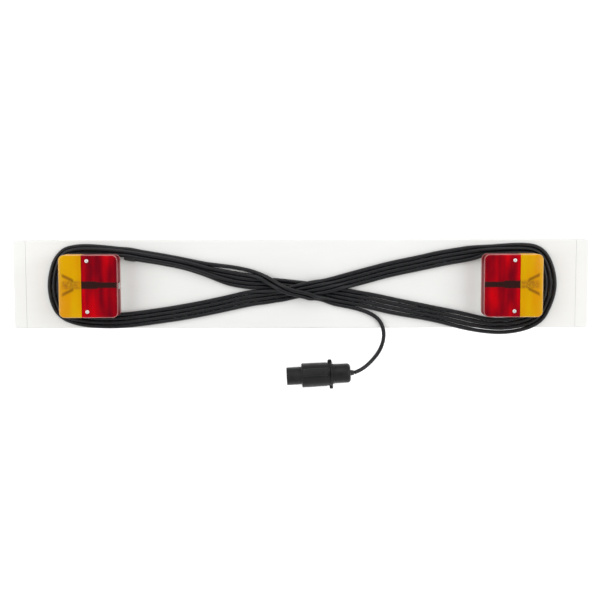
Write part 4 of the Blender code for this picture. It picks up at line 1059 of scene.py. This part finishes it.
def make_materials():
    """The finishes, by the record's material slots and by the pieces that have none."""
    red = ((0.30, 0.0, 0.012), (0.60, 0.0, 0.010), (0.97, 0.0, 0.008))
    amber = ((0.99, 0.49, 0.0), (1.0, 0.57, 0.0), (1.0, 0.63, 0.0))
    return {
        "board_plastic": board_plastic(),
        "lamp_base_plastic": surface(
            "lamp_base_plastic", (0.86, 0.84, 0.79), (0.92, 0.90, 0.86), (0.38, 0.55)),
        # edge colours: painted highlight and paler foot; wall colours: painted shade; fronts: painted streaks
        # and painted shade
        "red_lens": lens_plastic(
            "red_lens_acrylic", red, (0.95, 0.42, 0.40), (0.26, 0.0, 0.008), ((strip_painted_shade_mask, STRIP_PAINTED_SHADE),)),
        "amber_lens": lens_plastic(
            "amber_lens_acrylic", amber, (0.99, 0.74, 0.34), (0.95, 0.45, 0.0),
            ((bulb_painted_shadow_mask, BULB_PAINTED_SHADOW), (rib_painted_shadow_mask, RIB_PAINTED_SHADOW))),
        "clear_window": clear_plastic("clear_window_acrylic", (0.95, 0.95, 0.93), (0.04, 0.10), 1.49, 0.95),
        "black_rubber": surface("black_rubber", (0.018, 0.018, 0.018), (0.034, 0.033, 0.032), (0.60, 0.80)),
        "zinc_steel": surface(
            "zinc_plated_steel", (0.80, 0.80, 0.78), (0.93, 0.93, 0.90), (0.25, 0.42), metallic=0.8,
            colour_scale=500.0, grain_scale=6000.0, grain_height=0.00001, rough_scale=900.0),
        "carrier_steel": surface(
            "bulb_carrier_steel", (0.030, 0.024, 0.020), (0.060, 0.048, 0.040), (0.45, 0.60), metallic=0.3,
            colour_scale=180.0, stretch=(0.2, 1.0, 1.0)),
        "holder_steel": surface(
            "bulb_holder_steel", (0.38, 0.37, 0.35), (0.52, 0.51, 0.49), (0.28, 0.45), metallic=1.0,
            colour_scale=260.0, stretch=(0.15, 1.0, 1.0)),
        "bulb_brass": surface(
            "bulb_cap_brass", (0.58, 0.46, 0.24), (0.76, 0.64, 0.38), (0.22, 0.40), metallic=1.0,
            colour_scale=300.0, stretch=(0.2, 1.0, 1.0)),
        "bulb_glass": clear_plastic("bulb_glass", (0.98, 0.98, 0.97), (0.0, 0.02), 1.5, 1.0),
        "cable_sheath": surface(
            "black_cable_sheath", (0.0034, 0.0036, 0.0048), (0.0066, 0.0068, 0.0090), (0.30, 0.42),
            colour_scale=120.0, grain_scale=3000.0, grain_height=0.00002, wave_scale=70.0,
            wave_height=0.00012, specular=0.34),
        "plug_plastic": surface(
            "plug_black_plastic", (0.0065, 0.0065, 0.0070), (0.0120, 0.0120, 0.0130), (0.36, 0.50),
            colour_scale=90.0, grain_scale=2600.0, grain_height=0.00005, specular=0.26),
        "insert_plastic": surface(
            "plug_insert_plastic", (0.20, 0.165, 0.10), (0.30, 0.25, 0.16), (0.45, 0.60)),
        "pin_brass": surface(
            "pin_brass", (0.62, 0.48, 0.22), (0.80, 0.66, 0.36), (0.20, 0.36), metallic=1.0,
            colour_scale=400.0),
        "tungsten": surface(
            "tungsten_wire", (0.30, 0.30, 0.31), (0.46, 0.46, 0.47), (0.30, 0.45), metallic=1.0),
        "glass_bead": surface("bead_glass", (0.55, 0.62, 0.62), (0.70, 0.76, 0.75), (0.08, 0.15)),
        "floor": surface(
            "studio_floor", (0.93, 0.93, 0.93), (0.96, 0.96, 0.96), (0.55, 0.65), colour_scale=3.0,
            grain_height=0.00001),
    }


NODE_SLOTS = (
    ("board_panel", "board_plastic"), ("end_cap", "board_plastic"), ("lamp_base", "lamp_base_plastic"),
    ("gasket", "black_rubber"), ("lens_seal", "black_rubber"), ("lens_screw", "zinc_steel"),
    ("bulb_carrier", "carrier_steel"), ("bulb_holder", "holder_steel"), ("bulb_cap", "bulb_brass"),
    ("mount_", "zinc_steel"), ("window", "clear_window"), ("lead_gland", "black_rubber"),
    ("lead_inner_run", "cable_sheath"), ("crossover_cable", "cable_sheath"), ("cable_clip", "black_rubber"),
    ("plug_insert", "insert_plastic"), ("plug_pin", "pin_brass"), ("cable_boot", "black_rubber"),
)


def dress_nodes(materials):
    """The carried-over CAD nodes get their finishes."""
    for name, node in NODES.items():
        slot = next((slot for part, slot in NODE_SLOTS if part in name), None)
        if slot is not None:
            shade(node.data, materials[slot], NODE_SHARP_ANGLE)


# Stage

def make_floor(material):
    shader = material.node_tree.nodes["Principled BSDF"]
    shader.inputs["Emission Color"].default_value = (*WHITE, 1.0)
    shader.inputs["Emission Strength"].default_value = FLOOR_GLOW
    bm = bmesh.new()
    bmesh.ops.create_grid(bm, x_segments=FLOOR_CELLS, y_segments=FLOOR_CELLS, size=FLOOR_HALF)
    floor = mesh_object("floor", bm, material, Matrix.Translation((0.0, 0.0, FLOOR_Z)))


def make_world():
    """A pale studio all round, a little darker straight overhead."""
    world = bpy.data.worlds.new("studio")
    bpy.context.scene.world = world
    world.use_nodes = True
    tree = world.node_tree
    place = tree.nodes.new("ShaderNodeTexCoord")
    split = tree.nodes.new("ShaderNodeSeparateXYZ")
    tree.links.new(place.outputs["Generated"], split.inputs["Vector"])
    stops = ((0.0, WHITE), (OVERHEAD_SPAN[0], WHITE), (OVERHEAD_SPAN[1], OVERHEAD))
    colour = ramp(tree, split.outputs["Z"], stops)
    background = tree.nodes["Background"]
    tree.links.new(colour, background.inputs["Color"])
    background.inputs["Strength"].default_value = WORLD_STRENGTH


def make_light(name, place, size, power):
    """A softbox that faces the board's middle."""
    data = bpy.data.lights.new(name, "AREA")
    data.shape = "RECTANGLE"
    data.size, data.size_y = size
    data.energy = power
    light = bpy.data.objects.new(name, data)
    light.location = place
    light.rotation_mode = "QUATERNION"
    light.rotation_quaternion = (-Vector(place)).to_track_quat("-Z", "Y")
    bpy.context.scene.collection.objects.link(light)


make_camera()
materials = make_materials()
lead = make_lead(materials["cable_sheath"])
on_lead = [build_plug_body(materials["plug_plastic"]), build_plug_cap(materials["plug_plastic"])]
on_lead += [NODES[n] for n in sorted(NODES) if n.startswith(("plug_insert", "plug_cable_boot", "plug_pin"))]
for side in ("left", "right"):
    for colour in ("amber", "red"):
        build_lens(side, colour, materials[f"{colour}_lens"])
    for use in ("stop", "indicator"):
        build_bulb(side, use, materials["bulb_glass"], materials["tungsten"], materials["glass_bead"])
dress_nodes(materials)
make_floor(materials["floor"])
make_world()
for softbox in SOFTBOXES:
    make_light(*softbox)
bpy.context.scene.view_settings.view_transform = "Standard"
